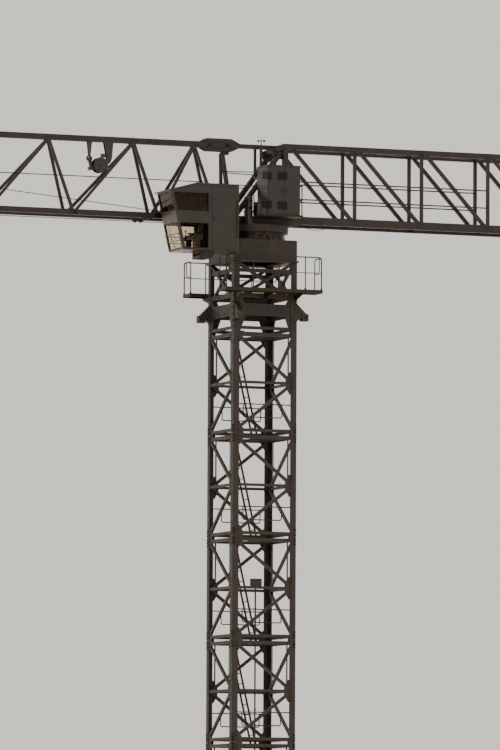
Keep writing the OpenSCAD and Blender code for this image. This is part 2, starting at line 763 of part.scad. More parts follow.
// One frame of the counter-jib
counter_x = [for (k = [0 : counter_bay_n]) counter_first_x + k * counter_bay];
counter_axis = low_line + 30;
counter_under = counter_axis - counter_low_h / 2;
counter_bar = 95;
module counter_frame() {
    low = counter_axis;
    intersection() {
        translate([head_rear_x, counter_under])
            square([counter_end_x - head_rear_x, top_line + counter_top_h / 2 - counter_under]);
        union() {
            strip([head_rear_x, low], [counter_end_x, low], counter_low_h);
            strip([head_rear_x, top_line], [counter_end_x, top_line], counter_top_h);
            for (k = [1 : counter_bay_n]) {
                strip([counter_x[k], low], [counter_x[k], top_line], counter_bar);
                strip([counter_x[k - 1] + 90, top_line], [counter_x[k] - 30, low], counter_bar + 10);
            }
        }
    }
}
module counter_side(s) {
    color(steel_dark) intersection() {
        upright(s * head_half - counter_chord_w / 2, counter_chord_w) counter_frame();
        union() {
            upright(s * head_half - 40, 80) square([counter_end_x + eps, 2 * top_line]);
            upright(s * head_half - counter_chord_w / 2, counter_chord_w) union() {
                translate([0, top_line - counter_top_h / 2]) square([counter_end_x + eps, counter_top_h]);
                translate([0, counter_under]) square([counter_end_x + eps, counter_low_h]);
            }
        }
    }
}

// Cross bars between the counter-jib top chords
module counter_top_bars() {
    inner = head_half - counter_chord_w / 2;
    color(steel_dark) translate([0, 0, top_line - 40]) linear_extrude(80) intersection() {
        translate([head_rear_x, -inner]) square([counter_end_x - head_rear_x, 2 * inner]);
        union() {
            for (k = [1 : counter_bay_n]) strip([counter_x[k], -inner], [counter_x[k], inner], 80);
            for (k = [1 : counter_bay_n - 1])
                strip([counter_x[k], -inner], [counter_x[k + 1], inner], 70);
        }
    }
}

// Deck plates and cross beams between the counter-jib bottom chords
counter_deck_z = counter_axis + counter_low_h / 2 - 40;
module counter_deck() {
    inner = head_half - counter_chord_w / 2;
    color(steel_mid) {
        block([head_rear_x, -inner, counter_deck_z - 30], [counter_end_x, inner, counter_deck_z]);
        for (k = [1 : counter_bay_n])
            block([counter_x[k] - 50, -inner, counter_deck_z - 150],
                [counter_x[k] + 50, inner, counter_deck_z]);
    }
}

// Handrails inside the counter-jib frames
module counter_rails() {
    y = head_half - 40 - rail_r;
    color(zinc) for (s = [-1, 1]) for (h = [handrail_h * 0.52, handrail_h])
        rod([head_rear_x, s * y, counter_deck_z + h],
            [counter_x[counter_bay_n - 2], s * y, counter_deck_z + h], rail_r, 8);
}

// Hoist winch between the tower head posts, with the guide sheave below it
module hoist_winch() {
    z = frame_top;
    cheek_y = 340;
    drum_near = -320;
    drum_far = 40;
    color(steel_mid) {
        for (s = [-1, 1]) upright(s > 0 ? cheek_y : -cheek_y - 20, 20)
            polygon([[hoist_x - 310, z], [hoist_x + 285, z], [hoist_x + 285, z + 60],
                [hoist_x + 110, hoist_axis_z + 100], [hoist_x - 110, hoist_axis_z + 100],
                [hoist_x - 310, z + 60]]);
        block([hoist_x - 310, -cheek_y, z], [hoist_x - 260, cheek_y, z + 50]);
        block([hoist_x + 235, -cheek_y, z], [hoist_x + 285, cheek_y, z + 50]);
        translate([hoist_x, 0, hoist_axis_z]) rotate([-90, 0, 0]) {
            translate([0, 0, -cheek_y]) cylinder(h = 2 * cheek_y, r = 45, $fn = 32);
            translate([0, 0, drum_near]) cylinder(h = drum_far - drum_near, r = hoist_drum_r, $fn = 64);
            for (y = [drum_near, drum_far - 20]) translate([0, 0, y]) cylinder(h = 20, r = 265, $fn = 64);
            translate([0, 0, drum_far + 30]) cylinder(h = cheek_y - drum_far - 60, r = 170, $fn = 32);
        }
        for (s = [-1, 1])
            block([guide_x - 40, s * 40 - 8, guide_z - 60], [guide_x + 30, s * 40 + 8, z + 50]);
        block([hoist_x - 300, -48, z], [guide_x + 30, 48, z + 30]);
        translate([guide_x, 0, guide_z]) sheave(guide_r, 66);
    }
}

// Counterweight slabs standing between the frames in the last bay
slab_pitch = slab_t + 12;
slab_w = counter_w - counter_chord_w - 30;
module counterweights() {
    z = counter_deck_z;
    first = counter_x[counter_bay_n] - counter_bar / 2 - 30 - slab_n * slab_pitch;
    color([0.42, 0.39, 0.36]) for (i = [0 : slab_n - 1])
        block([first + i * slab_pitch, -slab_w / 2, z],
            [first + i * slab_pitch + slab_t, slab_w / 2, top_line - counter_top_h / 2 - 160]);
}

// Cab: an open-fronted shell with a sloping front and a roof that falls to the front
roof_break = cab_back - 1350;
roof_drop = 210;
cab_outline = [[cab_front_low, cab_low], [cab_back, cab_low], [cab_back, cab_roof],
    [roof_break, cab_roof], [cab_front_top, cab_roof - roof_drop]];
window_low = cab_low + 60;
window_top = cab_low + 790;
visor_low = cab_low + 1140;
visor_top = cab_roof - 290;
roof_t = 40;
roof_front = 70;
roof_side = 20;
front_margin = 60;
side_margin = 70;
function front_x(z) = cab_front_low
    + (cab_front_top - cab_front_low) * (z - cab_low) / (cab_roof - roof_drop - cab_low);
module cab_room() {
    polygon([[cab_front_low + cab_t, cab_low + cab_t], [cab_back - cab_t, cab_low + cab_t],
        [cab_back - cab_t, cab_roof - cab_t], [roof_break, cab_roof - cab_t],
        [cab_front_top + cab_t, cab_roof - roof_drop - cab_t]]);
}
module roof_plate() {
    lip_x = cab_front_top - roof_front;
    lip_z = cab_roof - roof_drop * (roof_break - lip_x) / (roof_break - cab_front_top);
    polygon([[lip_x, lip_z], [roof_break, cab_roof], [cab_back, cab_roof],
        [cab_back, cab_roof - roof_t], [roof_break, cab_roof - roof_t], [lip_x, lip_z - roof_t]]);
}
side_window_back = cab_back - 950;
module side_window(low, high) {
    polygon([[front_x(low) + side_margin, low], [side_window_back, low],
        [side_window_back, high], [front_x(high) + side_margin, high]]);
}
module cab_shell() {
    color([0.2, 0.15, 0.11]) difference() {
        union() {
            upright(cab_near, cab_w) polygon(cab_outline);
            upright(cab_near - roof_side, cab_w + 2 * roof_side) roof_plate();
        }
        upright(cab_near + cab_t, cab_w - 2 * cab_t) cab_room();
        upright(cab_near - eps, cab_w + 2 * eps) {
            side_window(window_low, window_top);
            side_window(visor_low, visor_top);
        }
        for (band = [[window_low, window_top], [visor_low, visor_top]])
            upright(cab_near + front_margin, cab_w - 2 * front_margin)
                polygon([[front_x(band[0]) - 200, band[0]], [front_x(band[0]) + 120, band[0]],
                    [front_x(band[1]) + 120, band[1]], [front_x(band[1]) - 200, band[1]]]);
    }
}
glass_t = 8;
module cab_glass() {
    color([0.3, 0.34, 0.36, 0.4]) for (band = [[window_low, window_top], [visor_low, visor_top]]) {
        for (y = [cab_near + cab_t / 2 - glass_t / 2, cab_far - cab_t / 2 - glass_t / 2])
            upright(y, glass_t) side_window(band[0], band[1]);
        upright(cab_near + front_margin, cab_w - 2 * front_margin)
            polygon([[front_x(band[0]) + 16, band[0]], [front_x(band[0]) + 16 + glass_t, band[0]],
                [front_x(band[1]) + 16 + glass_t, band[1]], [front_x(band[1]) + 16, band[1]]]);
    }
}
module cab_seat() {
    mid = (cab_near + cab_far) / 2;
    floor_z = cab_low + cab_t;
    seat_x = -2380;
    color([0.12, 0.11, 0.1]) {
        translate([seat_x, mid, floor_z]) cylinder(h = 330, r = 60, $fn = 32);
        block([seat_x - 240, mid - 240, floor_z + 330], [seat_x + 240, mid + 240, floor_z + 450]);
        block([seat_x + 180, mid - 230, floor_z + 450], [seat_x + 290, mid + 230, floor_z + 1080]);
        for (s = [-1, 1])
            block([seat_x - 330, mid + s * 340 - 70, floor_z],
                [seat_x + 120, mid + s * 340 + 70, floor_z + 640]);
    }
}

// Brackets and walkway that carry the cab on the slewing frame
module cab_mount() {
    color(steel_dark) {
        for (x = [cab_back - 500, cab_back - 60])
            block([x, cab_far, frame_top - 200], [x + 100, -head_half - beam_w / 2, frame_top - 60]);
        block([cab_back - 500, -head_half - beam_w / 2 - 60, frame_top - 200],
            [head_foot_x, -head_half - beam_w / 2, frame_top - 60]);
    }
}

// Electrical cabinet on its service deck beside the tower head
cabinet_x = -95;
cabinet_near = -1380;
cabinet_far = -560;
service_z = frame_top;
module cabinet() {
    color([0.17, 0.14, 0.12])
        block([cabinet_x, cabinet_near, service_z],
            [cabinet_x + cabinet_l, cabinet_far, service_z + cabinet_h]);
}
module service_deck() {
    near = cabinet_near - 20;
    out = cabinet_x + cabinet_l + 90;
    front_post = [cabinet_x - 125, cabinet_far - 60];
    color(steel_mid) {
        block([cabinet_x - 165, near, service_z - 50], [out, -head_half - beam_w / 2, service_z]);
        rod([front_post[0], front_post[1], service_z],
            [front_post[0], front_post[1], service_z + 620], rail_r, 8);
        rod([front_post[0], front_post[1], service_z + 400],
            [cabinet_x, front_post[1], service_z + 400], rail_r, 8);
        for (y = [near + 30, cabinet_far - 30])
            rod([out - 30, y, service_z], [out - 30, y, service_z + 880], rail_r, 8);
        for (z = [service_z + 440, service_z + 880 - rail_r])
            rod([out - 30, near + 30, z], [out - 30, cabinet_far - 30, z], rail_r, 8);
    }
}

// Ropes: the lifeline clipped to the near lacing, the travel rope from the jib's end post to
// the root, the hoist rope round its guide sheave to the drum, and a cable looped below the
// counter-jib root
lifeline_h = 1080;
lifeline_y = jib_w / 2 - lifeline_h * plane_run / plane_rise
    - (lacing_t / 2 + rope_r) / cos(plane_lean) - rope_play;
travel_lean = (top_line - low_line - 482) / (root_x - jib_end_x - 50);
travel_gap = rope_r * travel_lean + rope_play;
travel_rope = [[jib_end_x + 50 + travel_gap, 0, top_line - 460], [root_x - travel_gap, 0, low_line + 22]];
loop_x = [1340, 2260];
loop_sag = 140;
loop_r = 9;
function tangent_way(c1, r1, c2, r2) = let (d = c2 - c1, u = d / norm(d), a = (r1 - r2) / norm(d))
    a * u + sqrt(1 - a * a) * [u[1], -u[0]];
function loop_at(t) = [loop_x[0] + t * (loop_x[1] - loop_x[0]), -head_half,
    counter_under - loop_r - loop_sag * 4 * t * (1 - t)];
module ropes() {
    guide_c = [guide_x, guide_z];
    drum_c = [hoist_x, hoist_axis_z];
    guide_turn = guide_r + rope_r + rope_play;
    drum_turn = hoist_drum_r + rope_r + rope_play;
    way = tangent_way(guide_c, guide_turn, drum_c, drum_turn);
    leave = guide_c + guide_turn * way;
    meet = drum_c + drum_turn * way;
    back = (leave - meet) / norm(leave - meet);
    color([0.13, 0.11, 0.1]) {
        rod([jib_end_x + 300, -lifeline_y, low_line + lifeline_h],
            [root_x - 220, -lifeline_y, low_line + lifeline_h], rope_r, 6);
        rod(travel_rope[0], travel_rope[1], rope_r, 6);
        rod([trolley_x + trolley_beam_x + 60, 0, hoist_rope_z], [guide_x + eps, 0, hoist_rope_z],
            rope_r, 6);
        translate([guide_x, 0, guide_z]) rotate([90, 0, 0]) rotate([0, 0, -90])
            rotate_extrude(angle = 90 + atan2(way[1], way[0]), $fn = 48)
                translate([guide_turn, 0]) circle(r = rope_r, $fn = 8);
        rod([leave[0] + back[0], 0, leave[1] + back[1]], [meet[0], 0, meet[1]], rope_r, 6);
        for (i = [0 : 5]) rod(loop_at(i / 6), loop_at((i + 1) / 6), loop_r, 6);
    }
}

// Trolley under the bottom chords, with four wheels on the chord tops
module trolley() {
    out = jib_w / 2 + low_chord_w / 2;
    chord_top = low_line + low_chord_h / 2;
    color(steel_mid) {
        for (s = [-1, 1]) {
            upright(s > 0 ? out + 8 : -out - 28, 20)
                polygon([[trolley_x - trolley_l / 2, chord_top + 130],
                    [trolley_x + trolley_l / 2, chord_top + 130],
                    [trolley_x + trolley_l / 2, trolley_low], [trolley_x - trolley_l / 2, trolley_low]]);
            for (x = [-1, 1])
                translate([trolley_x + x * (trolley_l / 2 - 140), s * (out + 8), chord_top + wheel_r])
                    rotate([s * 90, 0, 0]) cylinder(h = 50, r = wheel_r, $fn = 40);
        }
        for (x = [-1, 1])
            block([trolley_x + x * trolley_beam_x - 60, -out - 28, trolley_low],
                [trolley_x + x * trolley_beam_x + 60, out + 28, trolley_low + 100]);
        block([trolley_x - trolley_beam_x, -70, trolley_low],
            [trolley_x + trolley_beam_x, 70, trolley_low + 80]);
    }
}

// Hook block below the trolley on four falls of rope
fall_l = 1300;
sheave_r = 120;
sheave_x = 260;
hook_r = 105;
module hook_block() {
    axle_z = trolley_low - fall_l;
    cheek_low = axle_z - 330;
    color(steel_mid) {
        for (x = [-sheave_x, sheave_x]) for (s = [-1, 1])
            rod([trolley_x + x + s * sheave_r, 0, axle_z],
                [trolley_x + x + s * sheave_r, 0, trolley_low], rope_r, 6);
        for (s = [-1, 1]) upright(s > 0 ? 50 : -70, 20) translate([trolley_x, axle_z])
            polygon([[-400, 130], [400, 130], [400, -60], [120, -330], [-120, -330], [-400, -60]]);
        for (x = [-sheave_x, sheave_x]) translate([trolley_x + x, 0, axle_z])
            sheave(sheave_r - rope_r + eps, 104);
        block([trolley_x - 110, -55, cheek_low], [trolley_x + 110, 55, cheek_low + 110]);
        translate([trolley_x, 0, cheek_low - 160]) cylinder(h = 200, r = 34, $fn = 24);
        translate([trolley_x, 0, cheek_low - 160 - hook_r]) rotate([90, 0, 0])
            rotate([0, 0, 90]) rotate_extrude(angle = -250, $fn = 48)
                translate([hook_r, 0]) circle(r = 34, $fn = 16);
    }
}

// Wind gauge on the head's top beam
module wind_gauge() {
    z = top_line + head_beam_h / 2;
    color(zinc) translate([250, 0, z]) {
        cylinder(h = 150, r = 14, $fn = 16);
        for (a = [0, 120, 240]) rotate(a) rod([0, 0, 130], [90, 0, 130], 8, 6);
    }
}

base_cross();
leg(0);  // leg_front_left
leg(1);  // leg_front_right
leg(2);  // leg_back_right
leg(3);  // leg_back_left
side(0);  // side_front
side(1);  // side_right
side(2);  // side_back
side(3);  // side_left
ladders();
rest_platforms();
platform_rails();
power_cable();
collar_arms();
mast_head();
head_deck();
deck_rails();
slew_block();
slew_ring_fixed();
slew_ring_top();
turntable();
slew_drives();
slew_frame();
tower_head();
pin_cheeks();
cab_shell();
cab_glass();
cab_seat();
cab_mount();
cabinet();
service_deck();
jib_top_chord();
jib_side(-1);  // jib_side_near
jib_side(1);  // jib_side_far
jib_floor();
jib_tip();
trolley_winch();
counter_side(-1);  // counter_side_near
counter_side(1);  // counter_side_far
counter_top_bars();
counter_deck();
counter_rails();
hoist_winch();
counterweights();
ropes();
trolley();
hook_block();
wind_gauge();
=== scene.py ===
"""The looks of a flat-top tower crane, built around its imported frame.

Paint, zinc, rope and concrete finishes go on the frame's own pieces. Gratings, bolts, cab fittings,
stranded ropes and other fine things are built here as joined meshes that ride on the frame's bodies.
"""

import json
import math

import bmesh
import bpy
from mathutils import Matrix, Vector


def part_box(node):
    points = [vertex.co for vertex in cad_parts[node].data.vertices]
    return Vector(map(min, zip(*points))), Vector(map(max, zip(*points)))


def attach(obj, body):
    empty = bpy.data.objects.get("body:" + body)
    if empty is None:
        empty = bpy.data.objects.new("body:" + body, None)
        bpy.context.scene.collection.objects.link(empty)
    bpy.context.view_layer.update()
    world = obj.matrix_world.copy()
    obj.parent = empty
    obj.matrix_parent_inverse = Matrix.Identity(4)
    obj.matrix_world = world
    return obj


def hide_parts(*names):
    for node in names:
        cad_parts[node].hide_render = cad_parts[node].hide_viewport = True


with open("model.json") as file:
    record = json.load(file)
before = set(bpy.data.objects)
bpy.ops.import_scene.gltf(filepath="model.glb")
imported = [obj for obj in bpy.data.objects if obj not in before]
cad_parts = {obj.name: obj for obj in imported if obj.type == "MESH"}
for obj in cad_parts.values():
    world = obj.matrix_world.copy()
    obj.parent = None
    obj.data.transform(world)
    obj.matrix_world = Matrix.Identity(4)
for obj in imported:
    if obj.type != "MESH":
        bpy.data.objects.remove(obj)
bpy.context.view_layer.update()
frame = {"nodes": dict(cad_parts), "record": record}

TOWER = "tower"
UPPER = "upper_works"
MM = 0.001
X_AXIS = Vector((1, 0, 0))
Y_AXIS = Vector((0, 1, 0))
Z_AXIS = Vector((0, 0, 1))


# Sizes read from the frame

LEG_LOW, LEG_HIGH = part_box("leg_front_left")
HALF = -LEG_LOW.x
BASE_TOP = LEG_LOW.z
MAST_TOP = LEG_HIGH.z
SECTIONS = 6
SECTION = (MAST_TOP - BASE_TOP) / SECTIONS
JOINTS = [BASE_TOP + i * SECTION for i in range(1, SECTIONS + 1)]
SECTION_MIDDLES = [BASE_TOP + (i + 0.5) * SECTION for i in range(SECTIONS)]


# Materials


def linear(hex_colour):
    """An sRGB hex colour as the linear RGBA that the shaders take."""
    channels = [int(hex_colour[i : i + 2], 16) / 255 for i in (1, 3, 5)]
    return [c / 12.92 if c <= 0.04045 else ((c + 0.055) / 1.055) ** 2.4 for c in channels] + [1.0]


def add_node(tree, kind, settings, output=0):
    """Adds a node and gives back one of its outputs. A setting is a property, or an input by name or number,
    which takes a value, a hex colour or another node's output."""
    node = tree.nodes.new(kind)
    for key, value in settings.items():
        if isinstance(value, bpy.types.NodeSocket):
            tree.links.new(value, node.inputs[key])
        elif isinstance(key, int) or key in node.inputs:
            node.inputs[key].default_value = linear(value) if isinstance(value, str) else value
        else:
            setattr(node, key, value)
    return node.outputs[output] if node.outputs else None


def new_material(name):
    """An empty shader tree with its place in the row frame: (material, tree, position)."""
    material = bpy.data.materials.new(name)
    material.use_nodes = True
    tree = material.node_tree
    tree.nodes.clear()
    return material, tree, add_node(tree, "ShaderNodeTexCoord", {}, "Object")


def surface(tree, settings, height=None, depth_mm=0.0, strength=0.0):
    """The shader, wired to the output. A height between 0 and 1 gives it relief of a real depth."""
    if height is not None:
        relief = {"Strength": strength, "Distance": depth_mm * MM, "Height": height}
        settings["Normal"] = add_node(tree, "ShaderNodeBump", relief)
    shader = add_node(tree, "ShaderNodeBsdfPrincipled", settings)
    add_node(tree, "ShaderNodeOutputMaterial", {"Surface": shader})


def grain(tree, position, size_mm, detail=4.0, stretch=(1, 1, 1), offset=0.0):
    """Cloudy noise whose blobs are about size_mm across. Stretch lengthens them along an axis."""
    shift = (offset, offset * 0.7, offset * 1.3)
    place = {"Location": shift, "Scale": [1 / s for s in stretch], "Vector": position}
    noise = {"Scale": 1 / (size_mm * MM), "Detail": detail, "Roughness": 0.6}
    noise["Vector"] = add_node(tree, "ShaderNodeMapping", place)
    return add_node(tree, "ShaderNodeTexNoise", noise)


def patches(tree, position, size_mm, low, high, least=0.0, most=1.0, **noise):
    """Patches about size_mm across: where the grain rises from low to high, they rise from least to most."""
    cloud = grain(tree, position, size_mm, **noise)
    return add_node(tree, "ShaderNodeMapRange", {0: cloud, 1: low, 2: high, 3: least, 4: most})


def coats(tree, colour, *layers):
    """A ground colour with more colours laid over it in turn, each by its share of the surface."""
    for share, over in layers:
        colour = add_node(tree, "ShaderNodeMix", {"data_type": "RGBA", 0: share, 6: colour, 7: over}, 2)
    return colour


def chalked_alkyd(name, fresh, faded, streak, rust, chip_mm=38, chip_share=0.62):
    """Alkyd enamel sprayed on rolled steel: it chalks in broad patches, dust runs down it in streaks, and
    rust shows where stones and slings have chipped it."""
    material, tree, position = new_material(name)
    chalk = patches(tree, position, 900, 0.35, 0.68, detail=5)
    runs = patches(tree, position, 45, 0.52, 0.72, 0, 0.55, detail=3, stretch=(1, 1, 14), offset=3.1)
    chips = patches(tree, position, chip_mm, chip_share, chip_share + 0.03, detail=8, offset=7.7)
    places = patches(tree, position, 420, 0.5, 0.62, detail=3, offset=1.9)
    worn = add_node(tree, "ShaderNodeMath", {"operation": "MULTIPLY", 0: chips, 1: places})
    tone = patches(tree, position, 9, 0.35, 0.65, detail=5, offset=5.2)
    rusty = coats(tree, rust, (tone, "#2b150b"))
    colour = coats(tree, fresh, (chalk, faded), (runs, streak), (worn, rusty))
    # Chalking takes the gloss down in patches
    gloss = patches(tree, position, 160, 0.3, 0.7, 0.42, 0.72, offset=2.6)
    # Brush marks and orange peel, drawn 12 mm apart
    marks = grain(tree, position, 12, 3, offset=9.4)
    surface(tree, {"IOR": 1.5, "Base Color": colour, "Roughness": gloss}, marks, 0.5, 0.35)
    return material


def weathered_zinc(name, dull, bright, white_rust):
    """Hot-dip galvanised steel after years outdoors: the spangle has dulled to a brown grey film, with
    paler bloom where water lies."""
    material, tree, position = new_material(name)
    # Spangle grains of 18 mm
    spangle = add_node(tree, "ShaderNodeTexVoronoi", {"Scale": 1 / (18 * MM), "Vector": position}, "Color")
    tint = add_node(tree, "ShaderNodeMapRange", {0: spangle, 1: 0.2, 2: 0.9, 4: 0.8})
    bloom = patches(tree, position, 210, 0.6, 0.75, 0, 0.6, detail=6, offset=4.4)
    colour = coats(tree, dull, (tint, bright), (bloom, white_rust))
    gloss = add_node(tree, "ShaderNodeMapRange", {0: tint, 3: 0.5, 4: 0.66})
    settings = {"Metallic": 0.55, "Base Color": colour, "Roughness": gloss}
    surface(tree, settings, grain(tree, position, 5, 3), 0.2, 0.3)
    return material


def oiled_steel(name, steel, film):
    """Machined steel under a film of old grease: fine turning marks, darker where grease has caught dust."""
    material, tree, position = new_material(name)
    smear = patches(tree, position, 70, 0.38, 0.66, detail=5)
    gloss = add_node(tree, "ShaderNodeMapRange", {0: smear, 3: 0.28, 4: 0.6})
    settings = {"Metallic": 1.0, "Base Color": coats(tree, steel, (smear, film)), "Roughness": gloss}
    # Turning marks are really 0.3 mm apart; they are drawn at 4 mm so that they show
    surface(tree, settings, grain(tree, position, 4, 2, (12, 12, 1)), 0.1, 0.3)
    return material


def greased_strand(name, wire, grease):
    """Bright drawn wire laid in strands, with grease and dust in the valleys between them."""
    material, tree, position = new_material(name)
    # Single wires of 2 mm, drawn at 6 mm
    bands = {"Scale": 1 / (6 * MM * 6.28), "Distortion": 1.2, "bands_direction": "DIAGONAL"}
    lines = add_node(tree, "ShaderNodeTexWave", {**bands, "Vector": position}, "Fac")
    dirt = patches(tree, position, 130, 0.35, 0.65)
    share = add_node(tree, "ShaderNodeMath", {"operation": "MULTIPLY", 0: lines, 1: dirt})
    gloss = add_node(tree, "ShaderNodeMapRange", {0: dirt, 3: 0.75, 4: 0.5})
    settings = {"Metallic": 0.7, "Base Color": coats(tree, grease, (share, wire)), "Roughness": gloss}
    surface(tree, settings, lines, 0.6, 0.5)
    return material


def sheathed_rubber(name, black, dust):
    """Extruded chloroprene cable sheath, matt, with fine lengthways drag lines and dust on top."""
    material, tree, position = new_material(name)
    film = patches(tree, position, 60, 0.4, 0.7, detail=5, stretch=(1, 1, 6))
    settings = {"IOR": 1.52, "Roughness": 0.7, "Base Color": coats(tree, black, (film, dust))}
    surface(tree, settings, grain(tree, position, 3, 2, (1, 1, 20)), 0.2, 0.4)
    return material


def baked_enamel(name, coat, faded, dirt, gloss=0.34):
    """Baked enamel on pressed sheet: smooth with a fine orange peel and faint rain marks."""
    material, tree, position = new_material(name)
    broad = patches(tree, position, 520, 0.35, 0.7, detail=3)
    rain = patches(tree, position, 30, 0.5, 0.74, 0, 0.5, stretch=(1, 1, 18), offset=2.2)
    colour = coats(tree, coat, (broad, faded), (rain, dirt))
    dulled = add_node(tree, "ShaderNodeMapRange", {0: rain, 2: 0.5, 3: gloss, 4: gloss + 0.28})
    settings = {"IOR": 1.5, "Base Color": colour, "Roughness": dulled, "Coat Weight": 0.15}
    # Orange peel is 3 mm from crest to crest
    surface(tree, settings, grain(tree, position, 3, 1), 0.08, 0.25)
    return material


def laminated_glass(name):
    """Laminated safety glass, faintly bronze, with dried drops on it."""
    material, tree, position = new_material(name)
    spots = patches(tree, position, 14, 0.62, 0.7)
    gloss = add_node(tree, "ShaderNodeMapRange", {0: spots, 3: 0.02, 4: 0.4})
    colour = coats(tree, "#e9ddcd", (spots, "#8d7a63"))
    # A lower index than glass has: the leaning front pane would mirror the pale studio floor
    surface(tree, {"IOR": 1.12, "Transmission Weight": 1.0, "Base Color": colour, "Roughness": gloss})
    return material


def grained_vinyl(name, black, worn):
    """Grained vinyl over foam, worn pale where it is sat on."""
    material, tree, position = new_material(name)
    rubbed = patches(tree, position, 150, 0.45, 0.7)
    gloss = add_node(tree, "ShaderNodeMapRange", {0: rubbed, 3: 0.62, 4: 0.45})
    settings = {"IOR": 1.52, "Base Color": coats(tree, black, (rubbed, worn)), "Roughness": gloss}
    # Leather grain of 5 mm cells
    cells = add_node(tree, "ShaderNodeTexVoronoi", {"Scale": 1 / (5 * MM), "Vector": position}, "Distance")
    surface(tree, settings, cells, 0.4, 0.4)
    return material


def cast_concrete(name, pale, dark, rust):
    """Concrete cast in steel moulds: grey with brown runs, pinholes 5 mm across and soft cloudy patches."""
    material, tree, position = new_material(name)
    clouds = patches(tree, position, 260, 0.34, 0.68, detail=6)
    runs = patches(tree, position, 60, 0.55, 0.75, 0, 0.7, detail=3, stretch=(1, 1, 9), offset=6.1)
    colour = coats(tree, pale, (clouds, dark), (runs, rust))
    holes = add_node(tree, "ShaderNodeTexVoronoi", {"Scale": 1 / (34 * MM), "Vector": position}, "Distance")
    pits = add_node(tree, "ShaderNodeMapRange", {0: holes, 1: 0.1, 2: 0.2})
    surface(tree, {"IOR": 1.5, "Roughness": 0.88, "Base Color": colour}, pits, 3, 0.8)
    return material


def studio_paper(name, colour):
    """Matt paper, for the floor of the studio."""
    material, tree, position = new_material(name)
    shade = patches(tree, position, 4000, 0.3, 0.7, 0, 0.25, detail=2)
    surface(tree, {"Roughness": 0.95, "Base Color": coats(tree, colour, (shade, "#e2dcd3"))})
    return material


# The finish of each material slot in the record
FINISHES = {
    "mast_paint": chalked_alkyd("chalked_alkyd_mast", "#19110b", "#231811", "#312317", "#4d2a14"),
    "upper_paint": chalked_alkyd("chalked_alkyd_upper", "#150e09", "#1e150e", "#2b1f15", "#472612", 46, 0.64),
    "galvanised": weathered_zinc("weathered_zinc", "#2a2119", "#3a2e23", "#4c4034"),
    "bare_steel": oiled_steel("oiled_steel", "#4a4038", "#1a130d"),
    "wire_rope": greased_strand("greased_strand", "#3a3028", "#120c07"),
    "cable_rubber": sheathed_rubber("sheathed_rubber", "#0c0907", "#261d15"),
    "cab_paint": baked_enamel("baked_enamel_cab", "#140d08", "#1c130c", "#30241a"),
    "cabinet_paint": baked_enamel("baked_enamel_cabinet", "#120c08", "#1a120c", "#2d2118", 0.42),
    "machinery_paint": baked_enamel("baked_enamel_machine", "#1c140e", "#271c14", "#0d0805", 0.3),
    "cab_glazing": laminated_glass("laminated_glass"),
    "seat_plastic": grained_vinyl("grained_vinyl", "#120e0b", "#2c241c"),
    "ballast": cast_concrete("cast_concrete", "#453c33", "#332a22", "#38251a"),
}
EASED_EDGES = {"cabinet": 12 * MM, "counterweights": 18 * MM, "slew_block": 8 * MM}


def dress_frame():
    """Gives each CAD node the finish of its slot in the record, with eased edges on the larger pieces."""
    for row in frame["record"]["subparts"]:
        node = frame["nodes"][row["node"]]
        node.data.materials.clear()
        node.data.materials.append(FINISHES[row["material_slot"]])
    for name, radius in EASED_EDGES.items():
        node = frame["nodes"][name]
        weld = node.modifiers.new("weld", "WELD")
        weld.merge_threshold = 0.1 * MM
        bevel = node.modifiers.new("eased_edges", "BEVEL")
        bevel.width = radius
        bevel.segments = 2
        bevel.limit_method = "ANGLE"
        bevel.angle_limit = math.radians(40)


# Shape building


